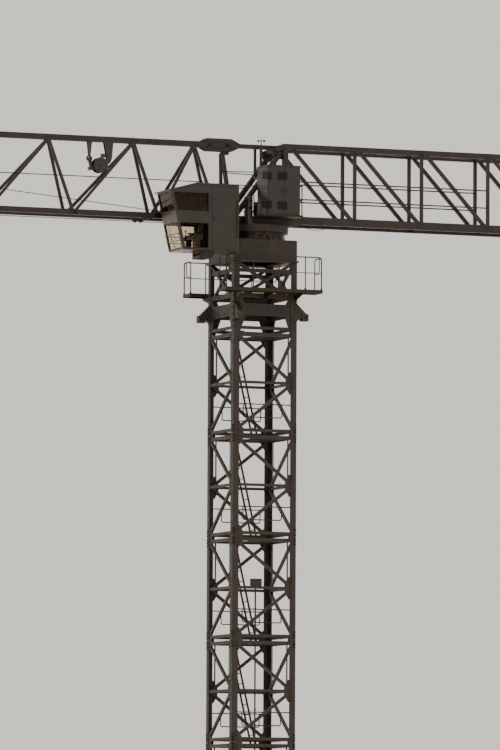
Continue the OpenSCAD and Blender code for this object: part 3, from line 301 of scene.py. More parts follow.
class Shape:
    """The points and faces of one joined mesh, in metres in the row frame. Whatever is added goes through
    `place` first, so that a loop can set the same detail at many places."""

    def __init__(self):
        self.points = []
        self.faces = []
        self.place = Matrix.Identity(4)

    def add(self, points, faces):
        start = len(self.points)
        self.points += [self.place @ Vector(p) for p in points]
        self.faces += [[start + i for i in face] for face in faces]

    def box(self, one, other):
        """A box between two opposite corners."""
        x, y, z = (sorted(pair) for pair in zip(one, other))
        corners = [(x[i], y[j], z[k]) for k in (0, 1) for j in (0, 1) for i in (0, 1)]
        sides = [(0, 2, 3, 1), (4, 5, 7, 6), (0, 1, 5, 4), (2, 6, 7, 3), (0, 4, 6, 2), (1, 3, 7, 5)]
        self.add(corners, sides)

    def border(self, low, high, wide, bottom, top):
        """Four upright strips along a rectangle's edges, inside it, or outside it where wide is negative."""
        (x0, y0), (x1, y1) = low, high
        self.box((x0, y0, bottom), (x1, y0 + wide, top))
        self.box((x0, y1 - wide, bottom), (x1, y1, top))
        self.box((x0, y0, bottom), (x0 + wide, y1, top))
        self.box((x1 - wide, y0, bottom), (x1, y1, top))

    def prism(self, outline, origin, across, up, depth):
        """An outline drawn along two directions from an origin, with a thickness out of its plane."""
        normal = across.cross(up).normalized() * depth
        face = [Vector(origin) + across * u + up * v for u, v in outline]
        n = len(face)
        sides = [[i, (i + 1) % n, n + (i + 1) % n, n + i] for i in range(n)]
        self.add(face + [p + normal for p in face], [list(range(n))[::-1], list(range(n, 2 * n))] + sides)

    def side_plate(self, outline, y, thickness):
        """A plate with an outline of (x, z) whose face lies at y. It grows towards -Y."""
        self.prism(outline, (0, y, 0), X_AXIS, Z_AXIS, thickness)

    def turned(self, profile, centre, axis, steps=16):
        """A profile of (radius, height) turned round an axis. It starts and ends at radius 0 or is closed."""
        axis = Vector(axis).normalized()
        side = axis.orthogonal().normalized()
        other = axis.cross(side)
        points, rings = [], []
        for radius, height in profile:
            at = Vector(centre) + axis * height
            if radius < 1e-9:
                rings.append([len(points)])
                points.append(at)
                continue
            rings.append(list(range(len(points), len(points) + steps)))
            for i in range(steps):
                angle = 2 * math.pi * i / steps
                points.append(at + (side * math.cos(angle) + other * math.sin(angle)) * radius)
        closed = len(rings[0]) > 1
        pairs = list(zip(rings, rings[1:])) + ([(rings[-1], rings[0])] if closed else [])
        faces = []
        for lower, upper in pairs:
            for i in range(steps):
                j = (i + 1) % steps
                if len(lower) == 1 and len(upper) == 1:
                    continue
                if len(lower) == 1:
                    faces.append([lower[0], upper[i], upper[j]])
                elif len(upper) == 1:
                    faces.append([lower[i], lower[j], upper[0]])
                else:
                    faces.append([lower[i], lower[j], upper[j], upper[i]])
        self.add(points, faces)

    def rod(self, centre, axis, radius, high, steps=16, low=0.0, tip=None):
        """A round bar from low to high above its centre. A tip's radius makes it taper."""
        end = radius if tip is None else tip
        self.turned([(0, low), (radius, low), (end, high), (0, high)], centre, axis, steps)

    def tube(self, path, radius, sides=8, closed=False, lobes=0, lay=1.0):
        """A round tube along a path. With lobes it is a laid rope: its fluted section turns once in each
        lay."""
        path = [Vector(p) for p in path]
        count = len(path)
        rings, points = [], []
        normal = None
        run = 0.0
        for i, at in enumerate(path):
            ahead = path[(i + 1) % count] if closed or i < count - 1 else at
            behind = path[i - 1] if closed or i > 0 else at
            along = (ahead - behind).normalized()
            if normal is None:
                normal = along.orthogonal().normalized()
            normal = (normal - along * normal.dot(along)).normalized()
            other = along.cross(normal)
            if i:
                run += (at - path[i - 1]).length
            twist = 2 * math.pi * run / lay if lobes else 0.0
            rings.append(list(range(len(points), len(points) + sides)))
            for k in range(sides):
                angle = 2 * math.pi * k / sides + twist
                reach = radius * (0.8 if lobes and k % 2 else 1.0)
                points.append(at + (normal * math.cos(angle) + other * math.sin(angle)) * reach)
        faces = []
        pairs = list(zip(rings, rings[1:])) + ([(rings[-1], rings[0])] if closed else [])
        for lower, upper in pairs:
            for k in range(sides):
                j = (k + 1) % sides
                faces.append([lower[k], lower[j], upper[j], upper[k]])
        if not closed:
            faces += [rings[0][::-1], rings[-1]]
        self.add(points, faces)

    def bent(self, corners, bend, radius, sides=8, steps=4, closed=False):
        """A round tube through corners that are rounded off by a bend."""
        self.tube(rounded(corners, bend, steps, closed), radius, sides, closed)

    def bolt(self, at, axis, across, washer=True):
        """A hexagon head on its washer, seated at a point of a face. Across is the width over its flats."""
        axis = Vector(axis).normalized()
        base = Vector(at) - axis * 0.3 * MM
        corner = across / math.sqrt(3)
        thick = 0.14 * across if washer else 0.0
        if washer:
            self.rod(base, axis, 0.98 * across, thick, 10)
        top = thick + 0.62 * across
        head = [(0, thick), (corner, thick), (corner, top - 0.08 * across), (0.86 * corner, top), (0, top)]
        self.turned(head, base, axis, 6)

    def made(self, name, body, slot, smooth=False):
        """The finished object in its slot's finish, riding on its body."""
        mesh = bpy.data.meshes.new(name)
        mesh.from_pydata([tuple(p) for p in self.points], [], self.faces)
        mesh.materials.append(FINISHES[slot])
        mesh.validate()
        form = bmesh.new()
        form.from_mesh(mesh)
        bmesh.ops.recalc_face_normals(form, faces=form.faces)
        form.to_mesh(mesh)
        form.free()
        mesh.update()
        if smooth:
            mesh.shade_smooth()
            mesh.set_sharp_from_angle(angle=math.radians(38))
        piece = bpy.data.objects.new(name, mesh)
        bpy.context.scene.collection.objects.link(piece)
        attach(piece, body)
        return piece


def quarter(k):
    return Matrix.Rotation(k * math.pi / 2, 4, "Z")


def lengths(start, end, pitch):
    """Places from start to end, evenly spaced, about a pitch apart."""
    steps = max(1, round((end - start) / pitch))
    return [start + (end - start) * i / steps for i in range(steps + 1)]


# Places read from the frame and shared by the details

TABLE_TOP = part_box("turntable")[1].z
FRAME_LOW, FRAME_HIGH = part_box("slew_frame")
CHORD_LOW, CHORD_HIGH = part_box("jib_top_chord")
TOP_LINE = (CHORD_LOW.z + CHORD_HIGH.z) / 2
FLOOR_LOW, FLOOR_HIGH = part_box("jib_floor")
LOW_LINE = (FLOOR_LOW.z + FLOOR_HIGH.z) / 2
JIB_END = CHORD_LOW.x
JIB_BAY = 2.65
JIB_TOP_NODES = [-1.89] + [-3.8 - k * JIB_BAY for k in range(7)]
JIB_LOW_NODES = [x + 0.66 for x in JIB_TOP_NODES]
JIB_JOINTS = [-3.49 - 2 * k * JIB_BAY for k in range(3)]
JIB_SIDE = 0.375
CHORD_HALF = 0.075
COUNTER_SIDE = 0.465
COUNTER_POSTS = [0.9 + 2.15 * k for k in range(6)]
HOIST_AT = Vector((0.58, 0, FRAME_HIGH.z + 0.32))
GUIDE_AT = Vector((0.52, 0, 21.5743))
WINCH_AT = Vector((-4.84, 0, TOP_LINE - 0.76))
TROLLEY_X = -17.05
PIN_PLACES = (-1.39, -0.85)
POST_FACE = 0.41
ROPE_RADIUS = 12 * MM


def rounded(corners, radius, steps=4, closed=True):
    """A path through corners that rounds each one off."""
    corners = [Vector(c) for c in corners]
    path = []
    for i, at in enumerate(corners):
        if not closed and i in (0, len(corners) - 1):
            path.append(at)
            continue
        before = (corners[i - 1] - at).normalized() * radius
        after = (corners[(i + 1) % len(corners)] - at).normalized() * radius
        path += [at + before * (1 - k / steps) ** 2 + after * (k / steps) ** 2 for k in range(steps + 1)]
    return path


def evenly(path, pitch):
    """The same path with a point about every pitch."""
    out = [Vector(path[0])]
    for a, b in zip(path, path[1:]):
        a, b = Vector(a), Vector(b)
        steps = max(1, round((b - a).length / pitch))
        out += [a.lerp(b, i / steps) for i in range(1, steps + 1)]
    return out


# Mast


def mast_bolts():
    """M30 bolts through the leg splices, and M24 bolts where struts, bars and gussets meet the legs."""
    heads = Shape()
    for k in range(4):
        heads.place = quarter(k)
        for level in JOINTS[:-1]:
            for x in (0.046 - HALF, HALF - 0.046):
                for rise in (-0.22, -0.14, -0.06, 0.06, 0.14, 0.22):
                    heads.bolt((x, -HALF, level + rise), -Y_AXIS, 34 * MM)
        for middle in SECTION_MIDDLES:
            for rise in (-0.27, -0.17, -0.07, 0.07, 0.17, 0.27):
                near_joint = math.copysign(SECTION / 2 - 0.02 - abs(rise), rise)
                heads.bolt((HALF - 0.145, -HALF, middle + rise), -Y_AXIS, 28 * MM)
                heads.bolt((0.145 - HALF, -HALF, middle + near_joint), -Y_AXIS, 28 * MM)
    heads.made("mast_bolts", TOWER, "bare_steel")


def mast_flats():
    """The flat bars that stiffen the upper half of each mast side, bolted at both ends."""
    shape = Shape()
    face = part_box("side_front")[0].y
    thick, half_width, at = 8 * MM, 22.5 * MM, 0.735
    for k in range(4):
        shape.place = quarter(k)
        for middle in SECTION_MIDDLES:
            low, high = middle + 0.2, middle + SECTION / 2 - 0.06
            shape.box((at - half_width, face - thick, low), (at + half_width, face, high))
            for z in (low + 0.04, high - 0.04):
                shape.bolt((at, face - thick, z), -Y_AXIS, 24 * MM)
    shape.made("mast_flats", TOWER, "mast_paint")


PLATFORM_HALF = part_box("rest_platforms")[1].x
HATCH_LOW = Vector((-0.62, -0.33))
HATCH_HIGH = Vector((-0.02, 0.33))
CABLE_AT = Vector((-0.22, -0.872))


def grating(shape, outer, holes, top, depth, bar_pitch, rod_pitch):
    """Pressed bar grating between two corners: bearing bars along Y, cross rods along X and a border strip.
    Holes are rectangles that the bars stop at."""
    bar_t, rod_t, rim_t = 4 * MM, 6 * MM, 6 * MM
    (x0, y0), (x1, y1) = outer

    def pieces_along(at, start, end, axis):
        cuts = sorted((low[1 - axis], high[1 - axis]) for low, high in holes if low[axis] < at < high[axis])
        for low, high in cuts:
            if low > start:
                yield start, min(low, end)
            start = max(start, high)
        if start < end:
            yield start, end

    for x in lengths(x0 + rim_t, x1 - rim_t, bar_pitch)[1:-1]:
        for a, b in pieces_along(x, y0 + rim_t, y1 - rim_t, 0):
            shape.box((x - bar_t / 2, a, top - depth), (x + bar_t / 2, b, top))
    for y in lengths(y0 + rim_t, y1 - rim_t, rod_pitch)[1:-1]:
        for a, b in pieces_along(y, x0 + rim_t, x1 - rim_t, 1):
            shape.box((a, y - rod_t / 2, top - rod_t - MM), (b, y + rod_t / 2, top - MM))
    shape.border(outer[0], outer[1], rim_t, top - depth, top)
    for low, high in holes:
        shape.border(low, high, -rim_t, top - depth, top)


def rest_gratings():
    """Bar grating of the six rest platforms, open at the ladder hatch and round the power cable."""
    shape = Shape()
    low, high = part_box("rest_platforms")
    thick = 30 * MM
    pitch = (high.z - low.z - thick) / (SECTIONS - 1)
    play = Vector((60 * MM, 60 * MM))
    holes = [(HATCH_LOW, HATCH_HIGH), (CABLE_AT - play, CABLE_AT + play)]
    outer = ((-PLATFORM_HALF, -PLATFORM_HALF), (PLATFORM_HALF, PLATFORM_HALF))
    for i in range(SECTIONS):
        grating(shape, outer, holes, low.z + thick + i * pitch, thick, 34 * MM, 100 * MM)
    piece = shape.made("rest_gratings", TOWER, "galvanised")
    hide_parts("rest_platforms")


def cable_fittings():
    """Box lids with screws, glands at the cable's entries and the sleeves clamped round it."""
    shape = Shape()
    low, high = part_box("power_cable")
    box_height, lid = 0.22, 6 * MM
    for z0 in (low.z, high.z - box_height):
        shape.box((low.x + 0.012, low.y - lid, z0 + 0.012), (high.x - 0.012, low.y, z0 + box_height - 0.012))
        for x in (low.x + 0.03, high.x - 0.03):
            for z in (z0 + 0.03, z0 + 0.19):
                shape.bolt((x, low.y - lid, z), -Y_AXIS, 10 * MM, washer=False)
    rings = [(z, 0.042, 6) for z in (low.z + box_height, high.z - box_height - 0.05)]
    rings += [(z, 0.031, 20) for z in lengths(low.z + 0.9, high.z - 0.9, 1.5)]
    for z, wide, steps in rings:
        shape.turned([(0.023, 0), (wide, 0), (wide, 0.05), (0.023, 0.05)], (*CABLE_AT, z), Z_AXIS, steps)
    shape.made("cable_fittings", TOWER, "mast_paint")


def weld_beads():
    """Fillet welds along the gussets of the mast sides, drawn as low beads."""
    shape = Shape()
    y = 0.032 - HALF
    reach = 0.903
    for k in range(4):
        shape.place = quarter(k)
        for middle in SECTION_MIDDLES:
            joint = SECTION / 2 - 0.17
            for x, rise, half in ((reach, 0, 0.33), (-reach, -joint, 0.15), (-reach, joint, 0.15)):
                bead = [(x, y, middle + rise - half), (x, y, middle + rise + half)]
                shape.tube(evenly(bead, 0.03), 6 * MM, 6)
    shape.made("weld_beads", TOWER, "mast_paint")


# Head platform


WALK_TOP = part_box("head_deck")[1].z
WALK_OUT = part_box("head_deck")[1].y
WALK_IN = HALF + 4 * MM
WALK_ENDS = (-1.49, 1.57)
RAIL_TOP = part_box("deck_rails")[1].z - 18 * MM
RAIL_MIDDLE = WALK_TOP + 0.49


def head_walkways():
    """The two walkways of the head platform, along the near and the far side of the mast: bar grating in a
    channel rim, on sloping brackets bolted to the mast head."""
    shape = Shape()
    sheet = 8 * MM
    x0, x1 = WALK_ENDS
    y0, y1 = -WALK_OUT, -WALK_IN
    low = WALK_TOP - 0.1
    for k in (0, 2):
        shape.place = quarter(k)
        inside = ((x0 + sheet, y0 + sheet), (x1 - sheet, y1 - sheet))
        grating(shape, inside, [], WALK_TOP - MM, 0.04, 34 * MM, 100 * MM)
        shape.box((x0, y0, low), (x1, y0 + sheet, WALK_TOP))
        shape.box((x0, y0 + sheet, low), (x1, y0 + 0.05, low + sheet))
        shape.box((x0, y1 - sheet, low), (x1, y1, WALK_TOP))
        for x in (x0, x1 - sheet):
            shape.box((x, y0 + sheet, low), (x + sheet, y1 - sheet, WALK_TOP))
        for x in (-0.95, 0, 0.95):
            foot, tip = -HALF - 12 * MM, y0 + 0.03
            outline = [(foot, WALK_TOP - 0.3), (foot, low), (tip, low), (tip, low - 0.05)]
            shape.prism(outline, (x - sheet, 0, 0), Y_AXIS, Z_AXIS, 2 * sheet)
            shape.box((x - 0.05, foot, WALK_TOP - 0.31), (x + 0.05, -HALF, low))
            for rise in (0.15, 0.26):
                for dx in (-0.032, 0.032):
                    shape.bolt((x + dx, foot, WALK_TOP - rise), -Y_AXIS, 24 * MM)
    piece = shape.made("head_walkways", TOWER, "galvanised")
    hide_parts("head_deck")


def head_rails():
    """Guard rails of the walkways: a long panel whose lower rail turns up beside the end posts, and a guard
    across each end. Every post stands in a bolted foot plate."""
    shape = Shape()
    y_out, y_in = 0.03 - WALK_OUT, -1.05
    x0, x1 = WALK_ENDS[0] + 0.03, WALK_ENDS[1] - 0.03
    in0, in1 = x0 + 0.07, x1 - 0.07
    guard_top = RAIL_TOP - 0.02
    for k in (0, 2):
        shape.place = quarter(k)
        panel = [(x0, WALK_TOP), (x0, RAIL_TOP), (x1, RAIL_TOP), (x1, WALK_TOP)]
        shape.bent([(x, y_out, z) for x, z in panel], 0.12, 18 * MM, 12, 8)
        lower = [(in0, RAIL_TOP), (in0, RAIL_MIDDLE), (in1, RAIL_MIDDLE), (in1, RAIL_TOP)]
        shape.bent([(x, y_out, z) for x, z in lower], 0.07, 13 * MM, 10, 6)
        feet = [(x0, y_out), (x1, y_out), (x0, y_in), (x1, y_in)]
        for x in (-0.61, 0.21, 0.86 if k else 1.03):
            shape.tube([(x, y_out, WALK_TOP), (x, y_out, RAIL_TOP)], 16 * MM, 12)
            feet.append((x, y_out))
        for x in (x0, x1):
            guard = [(x, y_out, guard_top), (x, y_in, guard_top), (x, y_in, WALK_TOP)]
            shape.bent(guard, 0.09, 16 * MM, 12, 8)
            shape.tube([(x, y_out, RAIL_MIDDLE), (x, y_in, RAIL_MIDDLE)], 13 * MM, 10)
        for x, y in feet:
            inward = 1 if y == y_out else -1
            shape.rod((x, y, WALK_TOP), Z_AXIS, 0.026, 0.05, 14)
            plate_top = WALK_TOP + 6 * MM
            shape.box((x - 0.035, y - inward * 0.024, WALK_TOP), (x + 0.035, y + inward * 0.085, plate_top))
            shape.bolt((x, y + inward * 0.058, plate_top), Z_AXIS, 19 * MM)
    piece = shape.made("head_rails", TOWER, "galvanised", smooth=True)
    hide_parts("deck_rails")


def head_bolts():
    """Bolts of the mast head's gussets, the collar arms and the slewing support box's flange."""
    shape = Shape()
    low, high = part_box("mast_head")
    for k in range(4):
        shape.place = quarter(k)
        for x in (0.07 - HALF, HALF - 0.07):
            for rise in (0.12, 0.3, 0.48, 0.66, 0.84, 1.02):
                shape.bolt((x, -HALF, low.z + rise), -Y_AXIS, 30 * MM)
        for x in lengths(-0.88, 0.88, 0.16):
            shape.bolt((x, -HALF - 0.022, high.z - 50 * MM), -Z_AXIS, 24 * MM, washer=False)
            shape.bolt((x, -HALF - 0.022, high.z), Z_AXIS, 24 * MM, washer=False)
        for x in (0.05 - HALF, 0.13 - HALF):
            for out in (0.082, 0.13):
                shape.bolt((x, -HALF - out, low.z + 0.55), Z_AXIS, 24 * MM, washer=False)
        shape.rod((-0.01 - HALF, -HALF - 0.29, low.z + 0.45), X_AXIS, 0.03, 0.22, low=-0.02)
    shape.made("head_bolts", TOWER, "bare_steel")


# Upper works


def ring_bolts():
    """The M27 bolts that hold the turntable down, outside its access hole and clear of the frame's beams."""
    shape = Shape()
    count, radius, beam_clearance = 36, 0.82, 0.12
    for i in range(count):
        angle = 2 * math.pi * i / count
        at = Vector((radius * math.cos(angle), radius * math.sin(angle), TABLE_TOP))
        if abs(abs(at.y) - COUNTER_SIDE) > beam_clearance:
            shape.bolt(at, Z_AXIS, 41 * MM)
    shape.made("ring_bolts", UPPER, "bare_steel")


def frame_bolts():
    """Bolts of the tower head, the cheek plates, the rear posts, the jib nodes and the counter-jib nodes."""
    shape = Shape()
    for side in (-1, 1):
        outward = Y_AXIS * side
        for x, drop in ((0.5, 0.14), (0.6, 0.14), (0.7, 0.14), (0.62, 0.3), (0.71, 0.32), (0.55, 0.24)):
            shape.bolt((x, side * POST_FACE, TOP_LINE - drop), outward, 30 * MM)
        for x in PIN_PLACES:
            shape.rod((x, side * 0.139, TOP_LINE), outward, 0.06, 0.012, 24)
            shape.bolt((x, side * 0.151, TOP_LINE), outward, 46 * MM, washer=False)
        for x in (-1.62, -1.52, -1.27, -1.18, -1.06, -0.97, -0.72, -0.62):
            for rise in (-0.08, 0.08):
                shape.bolt((x, side * 0.109, TOP_LINE + rise), outward, 24 * MM)
        # Foot plates of the rear posts
        for x in (0.77, 0.88):
            shape.bolt((x, side * 0.54, FRAME_HIGH.z + 0.084), outward, 24 * MM)
        outer = side * (COUNTER_SIDE + CHORD_HALF)
        for x in COUNTER_POSTS[1:]:
            for dx in (-0.14, -0.05, 0.04):
                for dz in (-0.05, 0.05):
                    shape.bolt((x + dx, outer, TOP_LINE + dz), outward, 20 * MM)
                    shape.bolt((x + dx, outer, LOW_LINE + 0.03 + dz), outward, 20 * MM)
        chord = side * (JIB_SIDE + CHORD_HALF)
        plate = chord + side * 6 * MM
        # The trolley's frame stands over the node nearest to it, which has no plate
        for x in [node for node in JIB_LOW_NODES[1:] if abs(node - TROLLEY_X) > 0.7]:
            shape.box((x - 0.13, chord, LOW_LINE - 0.06), (x + 0.13, plate, LOW_LINE + 0.06))
            for dx in (-0.09, -0.03, 0.03, 0.09):
                shape.bolt((x + dx, plate, LOW_LINE), outward, 24 * MM, washer=False)
        for x in JIB_TOP_NODES[1:]:
            for dx in (-0.1, 0.0, 0.1):
                shape.bolt((x + dx, side * 0.085, TOP_LINE), outward, 24 * MM)
    shape.made("frame_bolts", UPPER, "bare_steel")


def chord_joints():
    """The pinned joints between jib lengths: fork plates on the three chords, each with its two pins."""
    shape = Shape()
    for x in JIB_JOINTS:
        for side in (-1, 1):
            y = side * JIB_SIDE
            for drop in (-0.02, 0.0):
                z = LOW_LINE - 0.08 + drop
                shape.box((x - 0.17, y - 0.06, z - 6 * MM), (x + 0.17, y + 0.06, z + 6 * MM if drop else z))
            for dx in (-0.09, 0.09):
                shape.rod((x + dx, y, LOW_LINE - 0.155), Z_AXIS, 0.034, 0.05)
                shape.rod((x + 0.3 + dx, side * 0.095, TOP_LINE), Y_AXIS * side, 0.032, 0.045)
            shape.box((x + 0.12, side * 0.085, TOP_LINE - 0.065), (x + 0.48, side * 0.097, TOP_LINE + 0.065))
    shape.made("chord_joints", UPPER, "upper_paint")


def counter_gratings():
    """Grating of the counter-jib deck with its cross beams."""
    shape = Shape()
    low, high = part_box("counter_deck")
    depth = 30 * MM
    grating(shape, ((low.x, low.y), (high.x, high.y)), [], high.z, depth, 40 * MM, 110 * MM)
    for x in COUNTER_POSTS[1:]:
        for top in (high.z - depth, low.z + 8 * MM):
            shape.box((x - 0.05, low.y, low.z), (x + 0.05, high.y, top))
    piece = shape.made("counter_gratings", UPPER, "galvanised")
    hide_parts("counter_deck")


def slab_eyes():
    """Lifting loops cast into the tops of the counterweight slabs, and the tie rods through them."""
    shape = Shape()
    low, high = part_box("counterweights")
    slabs, gap = 6, 12 * MM
    pitch = (high.x - low.x + gap) / slabs
    foot, crown = high.z - 0.03, high.z + 0.09
    for i in range(slabs):
        x = low.x + (i + 0.5) * pitch - gap / 2
        for y in (-0.22, 0.22):
            loop = ((-0.06, foot), (-0.06, crown), (0.06, crown), (0.06, foot))
            shape.bent([(x, y + dy, z) for dy, z in loop], 0.05, 0.011, 10, 5)
    for y in (-0.3, 0.3):
        for z in (low.z + 0.35, high.z - 0.35):
            shape.rod((high.x, y, z), X_AXIS, 0.014, 0.06, 12)
            shape.bolt((high.x, y, z), X_AXIS, 46 * MM)
            shape.bolt((low.x, y, z), -X_AXIS, 46 * MM)
    shape.made("slab_eyes", UPPER, "bare_steel")


def winding(centre, radius, start, turns, y, pitch, per_turn):
    """The path of a rope wound on a drum, from an angle on. Turns below zero run the other way round."""
    path = []
    for i in range(abs(turns) * per_turn + 1):
        angle = start + math.copysign(2 * math.pi * i / per_turn, turns)
        along = y + pitch * i / per_turn
        path.append(centre + Vector((math.cos(angle) * radius, along, math.sin(angle) * radius)))
    return path


def laid_ropes():
    """Laid steel ropes: lifeline, travel rope, hoist rope round its guide sheave, and the cable looped under
    the counter-jib root. The hoist drum and the travel drum carry their windings."""
    shape = Shape()
    laid = {"sides": 12, "lobes": 6, "lay": 0.28}
    step = 35 * MM
    lifeline = [(x, -0.16077, LOW_LINE + 1.08) for x in (JIB_END + 0.3, -1.52)]
    travel = [(JIB_END + 0.0514, 0, TOP_LINE - 0.46), (FRAME_LOW.x - 1.4 * MM, 0, LOW_LINE + 0.022)]
    shape.tube(evenly(lifeline, step), 15 * MM, **laid)
    shape.tube(evenly(travel, step), ROPE_RADIUS, **laid)
    play = 0.3 * MM
    turn = 0.1 + ROPE_RADIUS + play
    drum_turn = 0.2 + ROPE_RADIUS + play
    across = Vector((HOIST_AT.x - GUIDE_AT.x, HOIST_AT.z - GUIDE_AT.z))
    along = across.normalized()
    lean = (turn - drum_turn) / across.length
    way = along * lean + Vector((along.y, -along.x)) * math.sqrt(1 - lean * lean)
    end = math.atan2(way.y, way.x)
    arc = [-math.pi / 2 + (end + math.pi / 2) * i / 8 for i in range(9)]
    hoist = evenly([(-16.51, 0, GUIDE_AT.z - turn), (GUIDE_AT.x, 0, GUIDE_AT.z - turn)], step)
    hoist += [GUIDE_AT + Vector((math.cos(a), 0, math.sin(a))) * turn for a in arc[1:]]
    meet = Vector((HOIST_AT.x + drum_turn * way.x, 0, HOIST_AT.z + drum_turn * way.y))
    hoist += evenly([hoist[-1], meet], step)[1:]
    shape.tube(hoist, ROPE_RADIUS, **laid)
    steps, sag, cable_radius = 24, 0.14, 9 * MM
    loop = []
    for t in (i / steps for i in range(steps + 1)):
        drop = 0.085 + cable_radius + 4 * sag * t * (1 - t)
        loop.append((1.34 + 0.92 * t, -COUNTER_SIDE, LOW_LINE - drop))
    shape.tube(loop, cable_radius, 10)
    piece = shape.made("laid_ropes", UPPER, "wire_rope", smooth=True)
    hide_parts("ropes")

    drums = Shape()
    drums.tube(winding(HOIST_AT, drum_turn, end, -11, 0, -0.0245, 36), ROPE_RADIUS * 0.98)
    drums.tube(winding(WINCH_AT, 0.157, 0, 8, -0.052, 0.013, 32), 6 * MM)
    drums.made("drum_windings", UPPER, "wire_rope", smooth=True)


def machine_details():
    """Cooling fins, terminal boxes, flange bolts and lids of the slewing motors, and fins and bolts of the
    hoist winch."""
    shape = Shape()
    fins, hoist_fins = 28, 30
    for side in (-1, 1):
        motor = Matrix.Translation((0.45 * side, 0.75 * side, TABLE_TOP))
        for i in range(fins):
            shape.place = motor @ Matrix.Rotation(2 * math.pi * i / fins, 4, "Z")
            shape.box((0.1, -2 * MM, 0.43), (0.127, 2 * MM, 0.72))
            if i % 2 == 0:
                shape.bolt((0.137, 0, 0.06), Z_AXIS, 13 * MM, washer=False)
                shape.bolt((0.137, 0, 0.4), Z_AXIS, 11 * MM, washer=False)
        shape.place = motor
        lid = [(0, 0.73), (0.122, 0.73), (0.126, 0.745), (0.126, 0.8), (0.1, 0.818), (0, 0.818)]
        shape.turned(lid, (0, 0, 0), Z_AXIS, 28)
        shape.box((-0.07, side * 0.1, 0.5), (0.07, side * 0.17, 0.64))
        for x, z in ((0.045, 0.62), (-0.045, 0.52)):
            shape.bolt((x, side * 0.17, z), Y_AXIS * side, 10 * MM, washer=False)
    for i in range(hoist_fins):
        shape.place = Matrix.Translation(HOIST_AT) @ Matrix.Rotation(2 * math.pi * i / hoist_fins, 4, "Y")
        shape.box((0.165, 0.09, -2 * MM), (0.19, 0.29, 2 * MM))
    shape.place = Matrix.Identity(4)
    for x in (-0.27, 0.23):
        for y in (-0.3, 0.3):
            shape.bolt((HOIST_AT.x + x, y, FRAME_HIGH.z + 0.05), Z_AXIS, 30 * MM)
    for side in (-1, 1):
        for i in range(6):
            angle = math.pi * i / 3
            at = HOIST_AT + Vector((0.075 * math.cos(angle), side * 0.36, 0.075 * math.sin(angle)))
            shape.bolt(at, Y_AXIS * side, 19 * MM)
        shape.rod(HOIST_AT + Y_AXIS * side * 0.36, Y_AXIS * side, 0.1, 0.02, 32, tip=0.09)
    shape.made("machine_details", UPPER, "machinery_paint")


def jib_winch():
    """The trolley winch under the jib's top chord: a tapered hanger on a ball joint at its outer end, a
    forked hanger over the drum, the flanged drum and its geared motor."""
    shape = Shape()
    joint = Vector((-5.165, 0, 23.25))
    hanger = [(0, 0.483), (0.08, 0.483), (0.08, 0.43), (0.042, 0.09), (0.042, 0.05), (0, 0.05)]
    shape.turned(hanger, joint, Z_AXIS, 32)
    ball = [(0.095 * math.cos(a), 0.095 * math.sin(a)) for a in (-1.3 + 2.6 * i / 12 for i in range(13))]
    shape.turned([(0, ball[0][1])] + ball + [(0, ball[-1][1])], joint, Z_AXIS, 28)
    shape.rod(joint, Y_AXIS, 0.05, 0.045, 20, low=-0.045)
    strut = [(-0.07, 0), (0.02, 0.01), (0.12, -0.24), (0.0, -0.3)]
    shape.prism(strut, (joint.x + 0.03, 0.02, joint.z - 0.03), X_AXIS, Z_AXIS, 0.04)
    link = WINCH_AT + Vector((-0.26, 0, -0.118))
    shape.box((link.x - 0.09, -0.07, link.z - 0.04), (link.x + 0.04, 0.07, link.z + 0.06))
    shape.bolt((link.x - 0.03, -0.07, link.z + 0.01), -Y_AXIS, 30 * MM)
    cheek = [(-4.711, 23.733), (-4.44, 23.733), (-4.485, 23.25), (-4.55, 23.12)]
    cheek += [(-4.80, 22.998), (-4.90, 23.04), (-4.88, 23.13), (-4.615, 23.25)]
    flange = [(0, 0), (0.225, 0), (0.225, 0.014), (0.21, 0.014), (0.2, 0.008), (0, 0.008)]
    arm = [(-5.13, 22.91), (-5.1, 22.98), (-4.85, 23.1), (-4.82, 23.03)]
    for side in (-1, 1):
        outward = Y_AXIS * side
        shape.side_plate(cheek, -0.084 if side < 0 else 0.06, -24 * MM)
        for z in (23.69, 23.6):
            for x in (-4.65, -4.5):
                shape.bolt((x, side * 0.084, z), outward, 24 * MM)
        shape.turned(flange, WINCH_AT + outward * 0.111, outward, 48)
        shape.side_plate(arm, side * 0.07 + 0.006, 12 * MM)
    groove = [(0.1535 if i % 2 else 0.148, -0.109 + 0.218 * i / 24) for i in range(25)]
    shape.turned([(0, -0.109)] + groove + [(0, 0.109)], WINCH_AT, Y_AXIS, 48)
    hub = [(0, -0.156), (0.045, -0.156), (0.05, -0.14), (0.05, 0.14), (0.045, 0.156), (0, 0.156)]
    shape.turned(hub, WINCH_AT, Y_AXIS, 28)
    for i in range(6):
        angle = math.pi * i / 3
        at = WINCH_AT + Vector((0.17 * math.cos(angle), 0, 0.17 * math.sin(angle)))
        for outward in (-Y_AXIS, Y_AXIS):
            shape.bolt(at + outward * 0.119, outward, 19 * MM, washer=False)
    shape.box((-4.80, -0.05, 23.29), (-4.60, 0.05, 23.40))
    shape.box((-4.60, -0.1, 23.32), (-4.54, 0.1, 23.36))
    motor = [(0, -0.15), (0.05, -0.15), (0.075, -0.12), (0.075, 0.12), (0.05, 0.15), (0, 0.15)]
    shape.turned(motor, (-4.68, 0, 22.96), Y_AXIS, 28)
    piece = shape.made("jib_winch", UPPER, "machinery_paint")
    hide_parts("trolley_winch")


